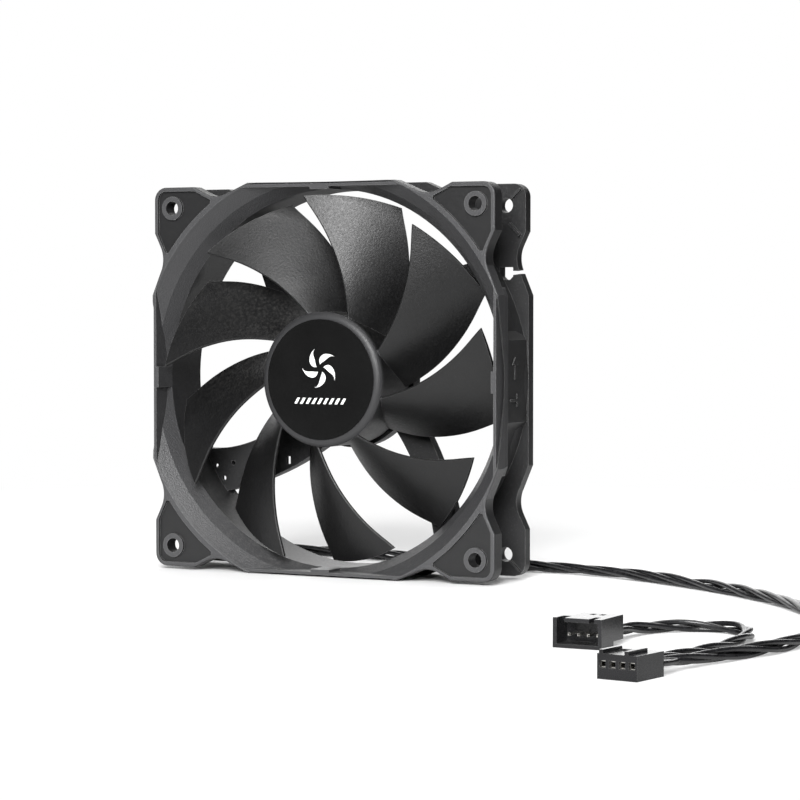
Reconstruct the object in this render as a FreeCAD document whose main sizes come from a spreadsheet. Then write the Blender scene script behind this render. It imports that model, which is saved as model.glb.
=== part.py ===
import FreeCAD, Part
import Sketcher
import math
import os
import re

# Case fan, 120 mm size, millimetres.  Row frame: origin at the centre of the frame on the rotor's
# axis, -Y is the intake (front) side, +Y the exhaust (rear) side, +Z up.
# The fan's own pieces are drawn in a fan frame, x right, y up, z towards the intake, and the
# placement TILT turns them upright.

Vector = FreeCAD.Vector
Rotation = FreeCAD.Rotation
Placement = FreeCAD.Placement
UP = Vector(0, 0, 1)
TILT = Placement(Vector(0, 0, 0), Rotation(Vector(1, 0, 0), 90))

doc = FreeCAD.newDocument("case_fan")
sheet = doc.addObject("Spreadsheet::Sheet", "Sizes")

SIZES = {
    # wires
    "lead_dia": 3.6,
    "tail_dia": 3.2,
    "wire_dia": 1.4,
    # frame outline and flanges
    "half_size": 60.0,          # centre to the middle of a side
    "half_depth": 12.5,         # half of the frame's depth
    "pad_inset": 1.0,           # a corner pad's edge inside the sides
    "pad_long": 15.3,           # start of a pad's straight edge, back from the sides' corner
    "pad_half": "=half_size - pad_inset",
    "pad_start": "=half_size - pad_long",
    "pad_round": 4.0,           # radius of the frame's four corners
    "straight_half": 25.5,      # half length of a side's straight middle
    "waist_inset": 2.9,         # ends of a side's waist arc inside the sides
    "waist_far": 27.6,          # the same ends, back from the sides' corner
    "waist_near": 19.2,
    "waist_half": "=half_size - waist_inset",
    "waist_start": "=half_size - waist_far",
    "waist_end": "=half_size - waist_near",
    "waist_round": 9.0,
    "front_flange": 4.8,
    "rear_flange": 3.8,
    "edge_round": 0.6,
    # duct
    "duct_radius": 57.8,
    "duct_wall": 1.2,
    "flare_radius": 64.8,
    "flare_depth": 8.0,
    "flare_waist": 60.6,        # where the flare's two cones meet
    "flare_waist_depth": 3.6,
    "ridge_width": 1.5,
    "skirt_depth": 3.3,
    "skirt_step": 0.9,
    "panel_half": 12.3,
    "panel_slope": 2.5,
    "panel_recess": 0.6,
    "tab_half": 3.2,
    "tab_reach": 0.8,
    # corner pockets, bosses and mounting holes
    "hole_spacing": 105.0,
    "hole_radius": 2.2,
    "boss_radius": 3.65,
    "pocket_depth": 0.8,
    "pocket_border": 1.3,
    "pocket_tip": 38.6,
    "rib_width": 0.8,
    "rib_rise": 1.0,
    "rib_back": 5.1,            # a side rib's ends, back from the hole towards the side's middle
    "rib_far_back": 8.7,
    "rib_slant": 0.6,           # cut of a side rib's ends, and its thickness across
    "rib_thin": 0.5,
    # wire notch in the rear flange
    "notch_inner": 50.4,
    "notch_outer": 54.8,
    "notch_low": 30.2,
    "notch_high": 34.0,
    "mouth_low": 32.0,
    "mouth_high": 33.2,
    "mouth_slant": 0.35,        # the mouth rises outwards by twice this
    "notch_cut": 1.0,           # cut corners at the notch's low side
    # motor base and struts
    "base_radius": 21.5,
    "base_wall": 1.4,
    "base_rise": 4.3,
    "base_floor": 1.0,
    "strut_rise": 3.5,
    "channel_floor": 1.2,
    "channel_tab_room": 0.1,    # left between the lead and the rear face, for the snap tabs
    "channel_play": 1.0,        # the channel's width over the lead's
    "cable_strut_rise": "=channel_floor + lead_dia + channel_tab_room",
    "strut_left_x": 13.5,       # where a strut's two edges leave the base
    "strut_left_y": 14.0,
    "strut_right_x": 19.3,
    "strut_right_y": 6.5,
    "strut_left_end": 28.4,     # where they meet the duct, and how each is curved
    "strut_right_end": 36.6,
    "strut_left_round": 76.5,
    "strut_right_round": 100.0,
    "wide_left_x": 8.5,         # the same for the cable strut's outer edge
    "wide_left_y": 17.5,
    "wide_left_end": 23.0,
    "wide_left_round": 45.3,
    "core_hole": 0.75,
    "channel_width": "=lead_dia + channel_play",
    "channel_bend": 110.0,
    "channel_centre_x": -77.1,
    "channel_centre_y": -74.6,
    "post_radius": 1.2,
    "post_ring": 13.0,
    # rotor
    "hub_radius": 20.55,
    "hub_wall": 1.4,
    "hub_face": 11.75,
    "hub_shoulder": 10.6,
    "hub_plate": 1.75,
    "hub_rear": -6.8,
    "hub_round": 2.4,
    "label_radius": "=hub_radius - 2.25",
    "label_thick": 0.25,
    "label_margin": 0.3,
    "blade_count": 9,
    "blade_tip": 56.0,
    "blade_thick": 1.35,
    "blade_root_inset": 1.25,   # the blade's end plane inside the hub's wall
    "yoke_wall": 1.0,
    "yoke_plate": 0.8,
    "yoke_rear": -5.8,
    "magnet_wall": 1.9,
    "magnet_front": 8.4,
    "magnet_rear": -5.5,
    "hub_boss_radius": 5.6,
    "hub_boss_rear": 7.0,
    "insert_radius": 3.6,
    "insert_front": 10.9,
    # shaft and bearing
    "shaft_radius": 1.5,
    "shaft_front": 10.5,
    "shaft_rear": -9.45,
    "running_gap": 0.03,
    "groove_radius": 1.1,
    "groove_front": -7.35,
    "groove_width": 0.5,
    "clip_thick": 0.4,
    "clip_radius": 2.5,
    "tube_bore": 3.2,
    "tube_wall": 1.4,
    "tube_front": 6.3,
    "tube_floor": -10.3,
    "sleeve_front": 5.6,
    "sleeve_rear": -6.6,
    "slinger_radius": 2.8,
    "slinger_thick": 0.4,
    "slinger_gap": 0.25,
    "thrust_radius": 2.9,
    "thrust_thick": 0.8,
    # stator
    "core_front": 5.4,
    "core_rear": -4.2,
    "core_ring": 7.4,
    "core_radius": "=hub_radius - 5.15",
    "shoe_inner": "=hub_radius - 7.85",
    "neck_width": 5.0,
    "former_wall": 0.6,
    "former_flange": 1.9,
    "coil_inner": 8.1,
    "coil_outer": 11.3,
    "coil_build": 1.8,
    # circuit board
    "board_radius": 19.7,
    "board_front": -8.7,
    "board_thick": 1.0,
    # rear label
    "rear_label_radius": 18.5,
    "rear_label_thick": 0.3,
    # connectors
    "pin_pitch": 2.54,
    "socket_width": 10.4,
    "socket_height": 5.8,
    "socket_length": 11.7,
    "cavity": 1.7,
    "cavity_rise": 0.5,
    "contact_wall": 0.2,
    "contact_gap": 0.05,
    "rib_height": 0.9,
    "shroud_width": 13.0,
    "shroud_height": 7.4,
    "shroud_depth": 7.2,
    "shroud_wall": 1.0,
    "plug_width": 10.6,
    "plug_height": 6.0,
    "plug_length": 6.0,
    "pin_size": 0.64,
    "pin_reach": 6.4,
}
for row, (alias, number) in enumerate(SIZES.items(), start=1):
    sheet.set("A%d" % row, alias.replace("_", " "))
    sheet.set("B%d" % row, str(number))
    sheet.setAlias("B%d" % row, alias)
doc.recompute()


def terms(text):
    """Name the sheet in front of each size in an expression."""
    def with_sheet(found):
        word = found.group(0)
        return "Sizes." + word if word in SIZES else word
    return re.sub(r"[a-z][a-z_]*", with_sheet, text)


def size(text):
    """The number that an expression in the sheet's sizes stands for."""
    found = sheet.evalExpression(terms(str(text)))
    return float(getattr(found, "Value", found))


def bind(thing, path, text):
    thing.setExpression(path, terms(text))


# ---------------------------------------------------------------- sketches and features

def new_body(name, placement=TILT):
    body = doc.addObject("PartDesign::Body", name)
    body.Label = name
    body.Placement = placement
    return body


def new_sketch(body, name, level="0", plane="XY_Plane"):
    sketch = body.newObject("Sketcher::SketchObject", body.Name + "_" + name)
    base = [f for f in body.Origin.OriginFeatures if f.Role == plane][0]
    sketch.AttachmentSupport = [(base, "")]
    sketch.MapMode = "FlatFace"
    bind(sketch, "AttachmentOffset.Base.z", level)
    return sketch


def hold_point(sketch, item, end, x, y):
    """Tie a point of the sketch to its place, written as expressions."""
    for kind, text, axis in (("DistanceX", x, -2), ("DistanceY", y, -1)):
        number = size(text)
        if text == "0":
            sketch.addConstraint(Sketcher.Constraint("PointOnObject", item, end, axis))
            continue
        index = sketch.addConstraint(Sketcher.Constraint(kind, -1, 1, item, end, number))
        bind(sketch, "Constraints[%d]" % index, text)


def hold_radius(sketch, item, text):
    index = sketch.addConstraint(Sketcher.Constraint("Radius", item, size(text)))
    bind(sketch, "Constraints[%d]" % index, text)


def draw_circle(sketch, radius, x="0", y="0"):
    centre = Vector(size(x), size(y), 0)
    item = sketch.addGeometry(Part.Circle(centre, UP, size(radius)), False)
    hold_point(sketch, item, 3, x, y)
    hold_radius(sketch, item, radius)


def draw_outline(sketch, corners):
    """Closed outline.  Each corner is (x, y), or (x, y, radius, side) where the stretch to the next
    corner is an arc: side 1 turns left along the way, side -1 turns right."""
    spots = [Vector(size(c[0]), size(c[1]), 0) for c in corners]
    ends = []
    for i, corner in enumerate(corners):
        a, b = spots[i], spots[(i + 1) % len(spots)]
        if len(corner) == 2:
            item = sketch.addGeometry(Part.LineSegment(a, b), False)
            ends.append((item, 1, 2))
            continue
        radius, side = size(corner[2]), corner[3]
        half = (b - a) * 0.5
        lift = math.sqrt(max(radius * radius - half.Length ** 2, 0.0))
        left = Vector(-half.y, half.x, 0).normalize()
        centre = a + half + left * lift * side
        first, last = (a, b) if side > 0 else (b, a)
        start = math.atan2(first.y - centre.y, first.x - centre.x)
        stop = math.atan2(last.y - centre.y, last.x - centre.x)
        arc = Part.ArcOfCircle(Part.Circle(centre, UP, radius), start, stop)
        item = sketch.addGeometry(arc, False)
        ends.append((item, 1, 2) if side > 0 else (item, 2, 1))
    for i, (item, begin, finish) in enumerate(ends):
        after = ends[(i + 1) % len(ends)]
        sketch.addConstraint(Sketcher.Constraint("Coincident", item, finish, after[0], after[1]))
    for (item, begin, finish), corner in zip(ends, corners):
        hold_point(sketch, item, begin, corner[0], corner[1])
        if len(corner) == 4:
            hold_radius(sketch, item, corner[2])


def draw_box(sketch, x0, x1, y0, y1):
    draw_outline(sketch, [(x0, y0), (x1, y0), (x1, y1), (x0, y1)])


def quarter_turn(corner, turns):
    """The corner turned about the axis by quarter turns."""
    x, y = corner[0], corner[1]
    for _ in range(turns % 4):
        x, y = "-(" + y + ")", x
    return (x, y) + tuple(corner[2:])


def feature(body, kind, sketch, name, length, backward=False):
    """A pad or pocket of the given length, away from the sketch or backward."""
    made = body.newObject("PartDesign::" + kind, body.Name + "_" + name)
    made.Profile = sketch
    bind(made, "Length", length)
    made.Reversed = backward
    sketch.Visibility = False
    body.Tip = made
    return made


def turn_profile(body, kind, corners, name):
    """Revolve or groove a half profile of (radius, height) corners about the body's Z axis."""
    sketch = new_sketch(body, name + "_profile", "0", "XZ_Plane")
    draw_outline(sketch, corners)
    made = body.newObject("PartDesign::" + kind, body.Name + "_" + name)
    made.Profile = sketch
    made.ReferenceAxis = (sketch, ["V_Axis"])
    made.Angle = 360
    body.Tip = made
    return made


def pattern(body, originals, name, count):
    made = body.newObject("PartDesign::PolarPattern", body.Name + "_" + name)
    axis = [f for f in body.Origin.OriginFeatures if f.Role == "Z_Axis"][0]
    made.Originals = originals
    made.Axis = (axis, [""])
    made.Angle = 360
    made.Occurrences = count
    body.Tip = made
    return made


def turned(name, corners):
    body = new_body(name)
    turn_profile(body, "Revolution", corners, "turned")
    return body


def ring(name, inner, outer, low, high):
    return turned(name, [(inner, low), (outer, low), (outer, high), (inner, high)])


def disc(name, radius, low, high):
    return ring(name, "0", radius, low, high)


def round_edges(body, name, height, radius):
    """Round the outline edges that lie at one height of the body made so far."""
    doc.recompute()
    level = size(height)
    base = body.Tip
    picked = []
    for number, edge in enumerate(base.Shape.Edges, start=1):
        box = edge.BoundBox
        if abs(box.ZMin - level) < 1e-4 and abs(box.ZMax - level) < 1e-4 and box.DiagonalLength > 0.05:
            picked.append("Edge%d" % number)
    made = body.newObject("PartDesign::Fillet", body.Name + "_" + name)
    made.Base = (base, picked)
    bind(made, "Radius", radius)
    body.Tip = made


# ---------------------------------------------------------------- frame

FRONT = "half_depth"
REAR = "-half_depth"
HOLE = "hole_spacing / 2"
RIDGE_OUTER = "flare_radius + ridge_width"
FLARE_END = "half_depth - flare_depth"
FLARE_WAIST = "half_depth - flare_waist_depth"
RING_MIDDLE = "duct_radius + duct_wall / 2"


def frame_outline():
    """The flange outline: straight sides, waists beside them and a pad at each corner."""
    quarter = [
        ("half_size", "straight_half"),
        ("waist_half", "waist_start", "waist_round", -1),
        ("waist_half", "waist_end"),
        ("pad_half", "pad_start"),
        ("pad_half", "pad_half - pad_round", "pad_round", 1),
        ("pad_half - pad_round", "pad_half"),
        ("pad_start", "pad_half"),
        ("waist_end", "waist_half", "waist_round", -1),
        ("waist_start", "waist_half"),
        ("straight_half", "half_size"),
    ]
    return [quarter_turn(corner, turns) for turns in range(4) for corner in quarter]


def make_frame():
    body = new_body("frame")
    # a collar of the flange's outline, turned down to a cone that backs the flared intake
    sketch = new_sketch(body, "collar", FRONT)
    draw_outline(sketch, frame_outline())
    feature(body, "Pad", sketch, "collar_pad", "flare_depth", True)
    far = "duct_radius + duct_wall + half_size"
    turn_profile(body, "Groove", [
        ("duct_radius + duct_wall", FLARE_END), ("flare_waist + duct_wall", FLARE_WAIST),
        (far, FLARE_WAIST), (far, FLARE_END)], "collar_cone")
    sketch = new_sketch(body, "barrel", REAR)
    draw_circle(sketch, "duct_radius + duct_wall")
    feature(body, "Pad", sketch, "barrel_pad", "2 * half_depth")
    sketch = new_sketch(body, "front_outline", FRONT)
    draw_outline(sketch, frame_outline())
    feature(body, "Pad", sketch, "front_flange_pad", "front_flange", True)
    sketch = new_sketch(body, "rear_outline", REAR)
    draw_outline(sketch, frame_outline())
    feature(body, "Pad", sketch, "rear_flange", "rear_flange")
    round_edges(body, "front_rounding", FRONT, "edge_round")
    round_edges(body, "rear_rounding", REAR, "edge_round")
    make_duct(body)
    make_corners(body)
    make_struts(body)
    make_motor_base(body)
    make_cable_channel(body)
    return body


def make_duct(body):
    # flat panels in the middle of each side, between the flanges
    sketch = new_sketch(body, "panels", REAR)
    face = "half_size - panel_recess"
    slope = "panel_half + panel_slope"
    for turns in range(4):
        corners = [("duct_radius - 4", "-(" + slope + ")"), ("duct_radius - 0.6", "-(" + slope + ")"),
                   (face, "-panel_half"), (face, "panel_half"),
                   ("duct_radius - 0.6", slope), ("duct_radius - 4", slope)]
        draw_outline(sketch, [quarter_turn(corner, turns) for corner in corners])
    feature(body, "Pad", sketch, "side_panels", "2 * half_depth")
    # skirt that widens the barrel just in front of the rear flange
    outer = "duct_radius + duct_wall"
    low = "rear_flange - half_depth"
    turn_profile(body, "Revolution", [
        (outer + " - 0.5", low + " - 0.5"), (outer + " + skirt_step", low + " - 0.5"),
        (outer + " + skirt_step", low), (outer, low + " + skirt_depth"),
        (outer + " - 0.5", low + " + skirt_depth")], "skirt")
    # through bore and the flared intake
    sketch = new_sketch(body, "bore", FRONT)
    draw_circle(sketch, "duct_radius")
    feature(body, "Pocket", sketch, "bore_pocket", "2 * half_depth")
    turn_profile(body, "Groove", [
        ("duct_radius - 2", FLARE_END), ("duct_radius", FLARE_END), ("flare_waist", FLARE_WAIST),
        ("flare_radius", FRONT), ("duct_radius - 2", FRONT)], "flare")
    # the flare would break through the sides: a thin wall closes it there, as far as it reaches
    sketch = new_sketch(body, "side_walls", FRONT)
    inside = "half_size - ridge_width"
    outside = "half_size - edge_round"
    meets = "sqrt(max(flare_radius^2 - (" + inside + ")^2; 1))"
    for turns in range(4):
        corners = [(outside, "-(straight_half - 0.3)"), (outside, "straight_half - 0.3"),
                   (inside, meets), (inside, "-" + meets)]
        draw_outline(sketch, [quarter_turn(corner, turns) for corner in corners])
    feature(body, "Pad", sketch, "side_wall_pad", "flare_depth", True)
    sketch = new_sketch(body, "tabs", FRONT)
    for turns in range(4):
        corners = [(inside + " - tab_reach", "-tab_half"), (inside + " + 0.4", "-tab_half"),
                   (inside + " + 0.4", "tab_half"), (inside + " - tab_reach", "tab_half")]
        draw_outline(sketch, [quarter_turn(corner, turns) for corner in corners])
    feature(body, "Pad", sketch, "tab_pad", "flare_depth", True)


def make_corners(body):
    # shallow pockets in the intake face, with a raised ring round each hole
    tip = "pocket_tip"
    rise = "sqrt((" + RIDGE_OUTER + ")^2 - pocket_tip^2)"
    edge = "pad_half - pocket_border"
    turn = "pad_round - pocket_border"
    start = "pad_start - pocket_border / 4"
    waist = "waist_half - pocket_border - 0.85"
    corners = [
        (tip, rise, RIDGE_OUTER, -1), (rise, tip), (waist, tip), (edge, start),
        (edge, edge + " - (" + turn + ")", turn, 1), (edge + " - (" + turn + ")", edge),
        (start, edge), (tip, waist)]
    sketch = new_sketch(body, "pockets", FRONT)
    for turns in range(4):
        draw_outline(sketch, [quarter_turn(corner, turns) for corner in corners])
        draw_circle(sketch, "boss_radius", *quarter_turn((HOLE, HOLE), turns))
    feature(body, "Pocket", sketch, "corner_pockets", "pocket_depth")
    sketch = new_sketch(body, "holes", FRONT)
    for turns in range(4):
        draw_circle(sketch, "hole_radius", *quarter_turn((HOLE, HOLE), turns))
    feature(body, "Pocket", sketch, "corner_holes", "2 * half_depth")
    # stiffening ribs on the inner face of the rear flange, outside each hole and beside it
    sketch = new_sketch(body, "ribs", "rear_flange - half_depth")
    half = "rib_width / 2"
    far = "pad_half - 1.4"
    near = HOLE + " + hole_radius"
    for turns in range(4):
        diagonal = [(near, near + " - " + half), (far, far + " - " + half), (far, far),
                    (far + " - " + half, far), (near + " - " + half, near)]
        beside = [(near + " - rib_slant", HOLE + " - rib_back"),
                  (near + " - rib_slant - rib_thin", HOLE + " - rib_back - rib_slant"),
                  (far + " - rib_thin", HOLE + " - rib_far_back - rib_slant"),
                  (far, HOLE + " - rib_far_back")]
        draw_outline(sketch, [quarter_turn(corner, turns) for corner in diagonal])
        draw_outline(sketch, [quarter_turn(corner, turns) for corner in beside])
    feature(body, "Pad", sketch, "rib_pad", "rib_rise")
    # notch that grips a wire, in the rear flange's right side
    sketch = new_sketch(body, "notch", REAR)
    draw_outline(sketch, [
        ("notch_inner + notch_cut", "notch_low"), ("notch_outer - notch_cut", "notch_low"),
        ("notch_outer", "notch_low + notch_cut"), ("notch_outer", "mouth_low - mouth_slant"),
        ("half_size", "mouth_low + mouth_slant"), ("half_size", "mouth_high + mouth_slant"),
        ("notch_outer", "mouth_high - mouth_slant"), ("notch_outer", "notch_high"),
        ("notch_inner", "notch_high"), ("notch_inner", "notch_low + notch_cut")])
    feature(body, "Pocket", sketch, "wire_notch", "rear_flange", True)


def make_motor_base(body):
    """Hollow the base to a cup, with the bearing tube standing in it."""
    sketch = new_sketch(body, "base_hollow", "cable_strut_rise - half_depth")
    draw_circle(sketch, "base_radius - base_wall")
    feature(body, "Pocket", sketch, "base_cup", "cable_strut_rise - base_floor - rear_label_thick")
    sketch = new_sketch(body, "label_seat", REAR)
    draw_circle(sketch, "rear_label_radius + 0.2")
    feature(body, "Pocket", sketch, "label_recess", "rear_label_thick", True)
    sketch = new_sketch(body, "bearing_tube", "rear_label_thick - half_depth")
    draw_circle(sketch, "tube_bore + tube_wall")
    feature(body, "Pad", sketch, "tube_pad", "tube_front + half_depth - rear_label_thick")
    sketch = new_sketch(body, "tube_bore", "tube_front")
    draw_circle(sketch, "tube_bore")
    feature(body, "Pocket", sketch, "tube_hollow", "tube_front - tube_floor")
    # posts that carry the circuit board
    sketch = new_sketch(body, "posts", "rear_label_thick - half_depth")
    for turns in range(3):
        draw_circle(sketch, "post_radius", *quarter_turn(("post_ring", "0.5"), turns))
    feature(body, "Pad", sketch, "post_pad", "board_front - board_thick + half_depth - rear_label_thick")


def strut_corners(left):
    """Outline of a strut that sweeps round as it runs from the base out to the ring's wall; left
    names the sizes of its left edge."""
    reach = "sqrt((" + RING_MIDDLE + ")^2 - %s^2)"
    return [
        (left + "_x", "-" + left + "_y", left + "_round", -1),
        (left + "_end", "-" + reach % (left + "_end"), RING_MIDDLE, 1),
        ("strut_right_end", "-" + reach % "strut_right_end", "strut_right_round", 1),
        ("strut_right_x", "-strut_right_y"),
    ]


def make_struts(body):
    """The motor base's disc, the four struts that carry it and the wide one for the cable, which is
    a quarter turn clockwise from the pattern's first."""
    sketch = new_sketch(body, "base", REAR)
    draw_circle(sketch, "base_radius")
    feature(body, "Pad", sketch, "base_pad", "base_rise")
    sketch = new_sketch(body, "strut", REAR)
    draw_outline(sketch, strut_corners("strut_left"))
    pad = feature(body, "Pad", sketch, "strut_pad", "strut_rise")
    pattern(body, [pad], "struts", 4)
    sketch = new_sketch(body, "cable_strut", REAR)
    draw_outline(sketch, [quarter_turn(corner, 3) for corner in strut_corners("wide_left")])
    feature(body, "Pad", sketch, "cable_strut_pad", "cable_strut_rise")


def channel_spot(across, angle):
    """A point of the cable channel, drawn with the strut below right, as numbers in expressions."""
    turn = math.radians(angle)
    return ("channel_centre_x + (channel_bend + %s) * %.6f" % (across, math.cos(turn)),
            "channel_centre_y + (channel_bend + %s) * %.6f" % (across, math.sin(turn)))


# angles along the cable channel, in degrees, from the base's cup outwards
CHANNEL_START = 35.0
LEAD_START = 33.0
LEAD_BENDS = (28.7, 24.3)
LEAD_LEAVES = 20.0
LEAD_OUTSIDE = 13.6
CHANNEL_END = 9.5
CHANNEL_TABS = ((28.0, 1), (21.0, -1))
TAB_HALF_ANGLE = 0.55
TAB_PAST_MIDDLE = 0.6
TAB_IN_WALL = 0.3
# moulding core holes in the cable strut, and the hollows behind those beside the channel
CORE_HOLES = (("-48.8", "-28.6"), ("-46.0", "-32.4"), ("-42.5", "-27.5"))
CORE_SLOT = ("-23.0", "-21.7", "-27.3", "-24.9")
ROUND_HOLLOW = ("1.9", "-47.0", "-32.6")
BOX_HOLLOW = ("-25.4", "-21.5", "-27.7", "-24.7")


def make_cable_channel(body):
    """The wire channel in the wide strut, open to the rear, from the base's cup to the rear flange."""
    half = "channel_width / 2"
    inner, outer = "-(" + half + ")", "(" + half + ")"
    corners = [
        channel_spot(inner, CHANNEL_START) + ("channel_bend - " + half, -1),
        channel_spot(inner, CHANNEL_END),
        channel_spot(outer, CHANNEL_END) + ("channel_bend + " + half, 1),
        channel_spot(outer, CHANNEL_START),
    ]
    sketch = new_sketch(body, "channel", REAR)
    draw_outline(sketch, [quarter_turn(corner, 3) for corner in corners])
    feature(body, "Pocket", sketch, "channel_pocket", "cable_strut_rise - channel_floor", True)
    # snap tabs over the channel, each with a core hole in the floor under it
    sketch = new_sketch(body, "tabs_over_channel", REAR)
    for angle, side in CHANNEL_TABS:
        far = "%d * (%s + %g)" % (side, half, TAB_IN_WALL)
        near = "%d * %g" % (-side, TAB_PAST_MIDDLE)
        low, high = (near, far) if side > 0 else (far, near)
        before, after = angle - TAB_HALF_ANGLE, angle + TAB_HALF_ANGLE
        tab = [channel_spot("(" + low + ")", after), channel_spot("(" + low + ")", before),
               channel_spot("(" + high + ")", before), channel_spot("(" + high + ")", after)]
        draw_outline(sketch, [quarter_turn(corner, 3) for corner in tab[::-1]])
    feature(body, "Pad", sketch, "channel_tabs", "cable_strut_rise - channel_floor - lead_dia - 0.02")
    sketch = new_sketch(body, "core_holes", "cable_strut_rise - half_depth")
    for spot in CORE_HOLES:
        draw_circle(sketch, "core_hole", *spot)
    draw_box(sketch, *CORE_SLOT)
    feature(body, "Pocket", sketch, "core_hole_pocket", "cable_strut_rise")
    # hollows behind the two holes that don't open into the channel
    sketch = new_sketch(body, "hollows", REAR)
    draw_circle(sketch, *ROUND_HOLLOW)
    draw_box(sketch, *BOX_HOLLOW)
    feature(body, "Pocket", sketch, "hollow_pocket", "cable_strut_rise - channel_floor", True)


# ---------------------------------------------------------------- rotor

TIP_MARGIN = 1.5       # the blade is lofted this far past its tip and trimmed
FIRST_STATION = 0.95   # first section outside the hub's wall, and the others' shares of the way
STATION_SHARES = (0.0, 7 / 69, 17 / 69, 29 / 69, 41 / 69, 53 / 69, 63 / 69)
BLADE_ROOT = 20.5      # radius where the blade's edge curves begin, and their span
BLADE_SPAN = 35.3
BLADE_CAMBER = 0.32
NOSE_REACH = 0.42


def blade_angles(radius):
    """Angles in degrees of the leading and trailing edges, anticlockwise as seen from the front."""
    share = max(radius - BLADE_ROOT, 0.0) / BLADE_SPAN
    return 24.2 + 32.2 * share ** 0.78, -6.5 + 34.5 * share ** 0.78


def blade_depths(radius):
    """Depths of the leading and trailing edges behind the front face."""
    share = max(radius - BLADE_ROOT, 0.0) / BLADE_SPAN
    return 2.7 - 1.0 * share, 17.5 - 4.0 * share


def blade_point(radius, along, flat):
    """A point of the blade's middle surface, along from leading edge 0 to trailing edge 1."""
    lead, trail = blade_angles(radius)
    front, back = blade_depths(radius)
    angle = math.radians(lead + (trail - lead) * along)
    middle = math.radians((lead + trail) / 2)
    out = radius / math.cos(angle - middle) if flat else radius
    curve = along + BLADE_CAMBER * (along * along - along)
    height = size("half_depth") - front - (back - front) * curve
    return Vector(out * math.cos(angle), out * math.sin(angle), height)


def blade_section(radius, flat):
    """Closed wire of the blade's cross-section: two long curves and two narrow edges."""
    step = 0.01
    sides = ([], [])
    stations = [0.0, 0.12, 0.3, 0.5, 0.7, 0.88, 1.0]
    for along in stations:
        spot = blade_point(radius, along, flat)
        ahead = blade_point(radius, along + step, flat) - blade_point(radius, along - step, flat)
        outward = Vector(spot.x, spot.y, 0)
        normal = ahead.cross(outward).normalize()
        thick = size("blade_thick") * (0.62 + 0.38 * math.sin(math.pi * min(along * 0.9 + 0.15, 1.0)))
        sides[0].append(spot + normal * (thick / 2))
        sides[1].append(spot - normal * (thick / 2))
    edges = []
    for points in (sides[0], sides[1][::-1]):
        curve = Part.BSplineCurve()
        curve.interpolate(points)
        edges.append(curve.toShape())
    lead_middle = (sides[0][0] + sides[1][0]) * 0.5
    nose = lead_middle + (lead_middle - blade_point(radius, 0.05, flat)).normalize() * NOSE_REACH
    nose_edge = Part.Arc(sides[1][0], nose, sides[0][0]).toShape()
    tail_edge = Part.LineSegment(sides[0][-1], sides[1][-1]).toShape()
    return Part.Wire([edges[0], tail_edge, edges[1], nose_edge])


def blade_shape():
    tip = size("blade_tip")
    first = size("hub_radius") + FIRST_STATION
    radii = [size("hub_radius - blade_root_inset")]
    radii += [first + share * (tip - first) for share in STATION_SHARES]
    radii.append(tip + TIP_MARGIN)
    wires = [blade_section(r, flat=(r in (radii[0], radii[-1]))) for r in radii]
    whole = Part.makeLoft(wires, True, False)
    trim = Part.makeCylinder(tip, size("2 * half_depth"), Vector(0, 0, size(REAR)))
    return whole.common(trim)


def make_rotor():
    hub = new_body("hub")
    inner = "hub_radius - hub_wall"
    turn_profile(hub, "Revolution", [
        ("0", "hub_face"), ("0", "insert_front"), ("insert_radius", "insert_front"),
        ("insert_radius", "hub_boss_rear"),
        ("hub_boss_radius", "hub_boss_rear"), ("hub_boss_radius", "hub_face - hub_plate"),
        (inner, "hub_face - hub_plate"), (inner, "hub_rear"), ("hub_radius", "hub_rear"),
        ("hub_radius", "hub_shoulder", "hub_round", 1), ("label_radius + label_margin", "hub_face")], "cup")
    pieces = [hub]
    shape = blade_shape()
    count = int(size("blade_count"))
    for number in range(count):
        blade = doc.addObject("Part::Feature", "blade_%d" % (number + 1))
        blade.Shape = shape
        blade.Placement = TILT * Placement(Vector(0, 0, 0), Rotation(UP, 360.0 * number / count))
        pieces.append(blade)
    impeller = doc.addObject("Part::MultiFuse", "impeller")
    impeller.Label = "impeller"
    impeller.Shapes = pieces
    yoke_outer = inner
    yoke_inner = inner + " - yoke_wall"
    front = "hub_face - hub_plate"
    return [
        impeller,
        disc("hub_label", "label_radius", "hub_face", "hub_face + label_thick"),
        turned("rotor_yoke", [
            ("hub_boss_radius + 0.2", front + " - yoke_plate"), (yoke_inner, front + " - yoke_plate"),
            (yoke_inner, "yoke_rear"), (yoke_outer, "yoke_rear"), (yoke_outer, front),
            ("hub_boss_radius + 0.2", front)]),
        ring("magnet_ring", yoke_inner + " - magnet_wall", yoke_inner, "magnet_rear", "magnet_front"),
        ring("shaft_insert", "shaft_radius", "insert_radius", "hub_boss_rear", "insert_front"),
        make_shaft(),
        ring("oil_slinger", "shaft_radius", "slinger_radius", "sleeve_front + slinger_gap",
             "sleeve_front + slinger_gap + slinger_thick"),
        make_clip(),
    ]


def make_shaft():
    groove_low = "groove_front - groove_width"
    return turned("shaft", [
        ("0", "shaft_rear"), ("shaft_radius - 0.3", "shaft_rear"), ("shaft_radius", "shaft_rear + 0.3"),
        ("shaft_radius", groove_low), ("groove_radius", groove_low), ("groove_radius", "groove_front"),
        ("shaft_radius", "groove_front"), ("shaft_radius", "shaft_front"), ("0", "shaft_front")])


def make_clip():
    """Retaining clip: a flat ring in the shaft's groove, open at one side."""
    clip = ring("retaining_clip", "groove_radius", "clip_radius",
                "groove_front - clip_thick - 0.05", "groove_front - 0.05")
    sketch = new_sketch(clip, "gap", "groove_front")
    draw_box(sketch, "0", "clip_radius + 1", "-0.7", "0.7")
    feature(clip, "Pocket", sketch, "gap_pocket", "clip_thick + 0.2")
    return clip


# ---------------------------------------------------------------- stator and bearing

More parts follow.
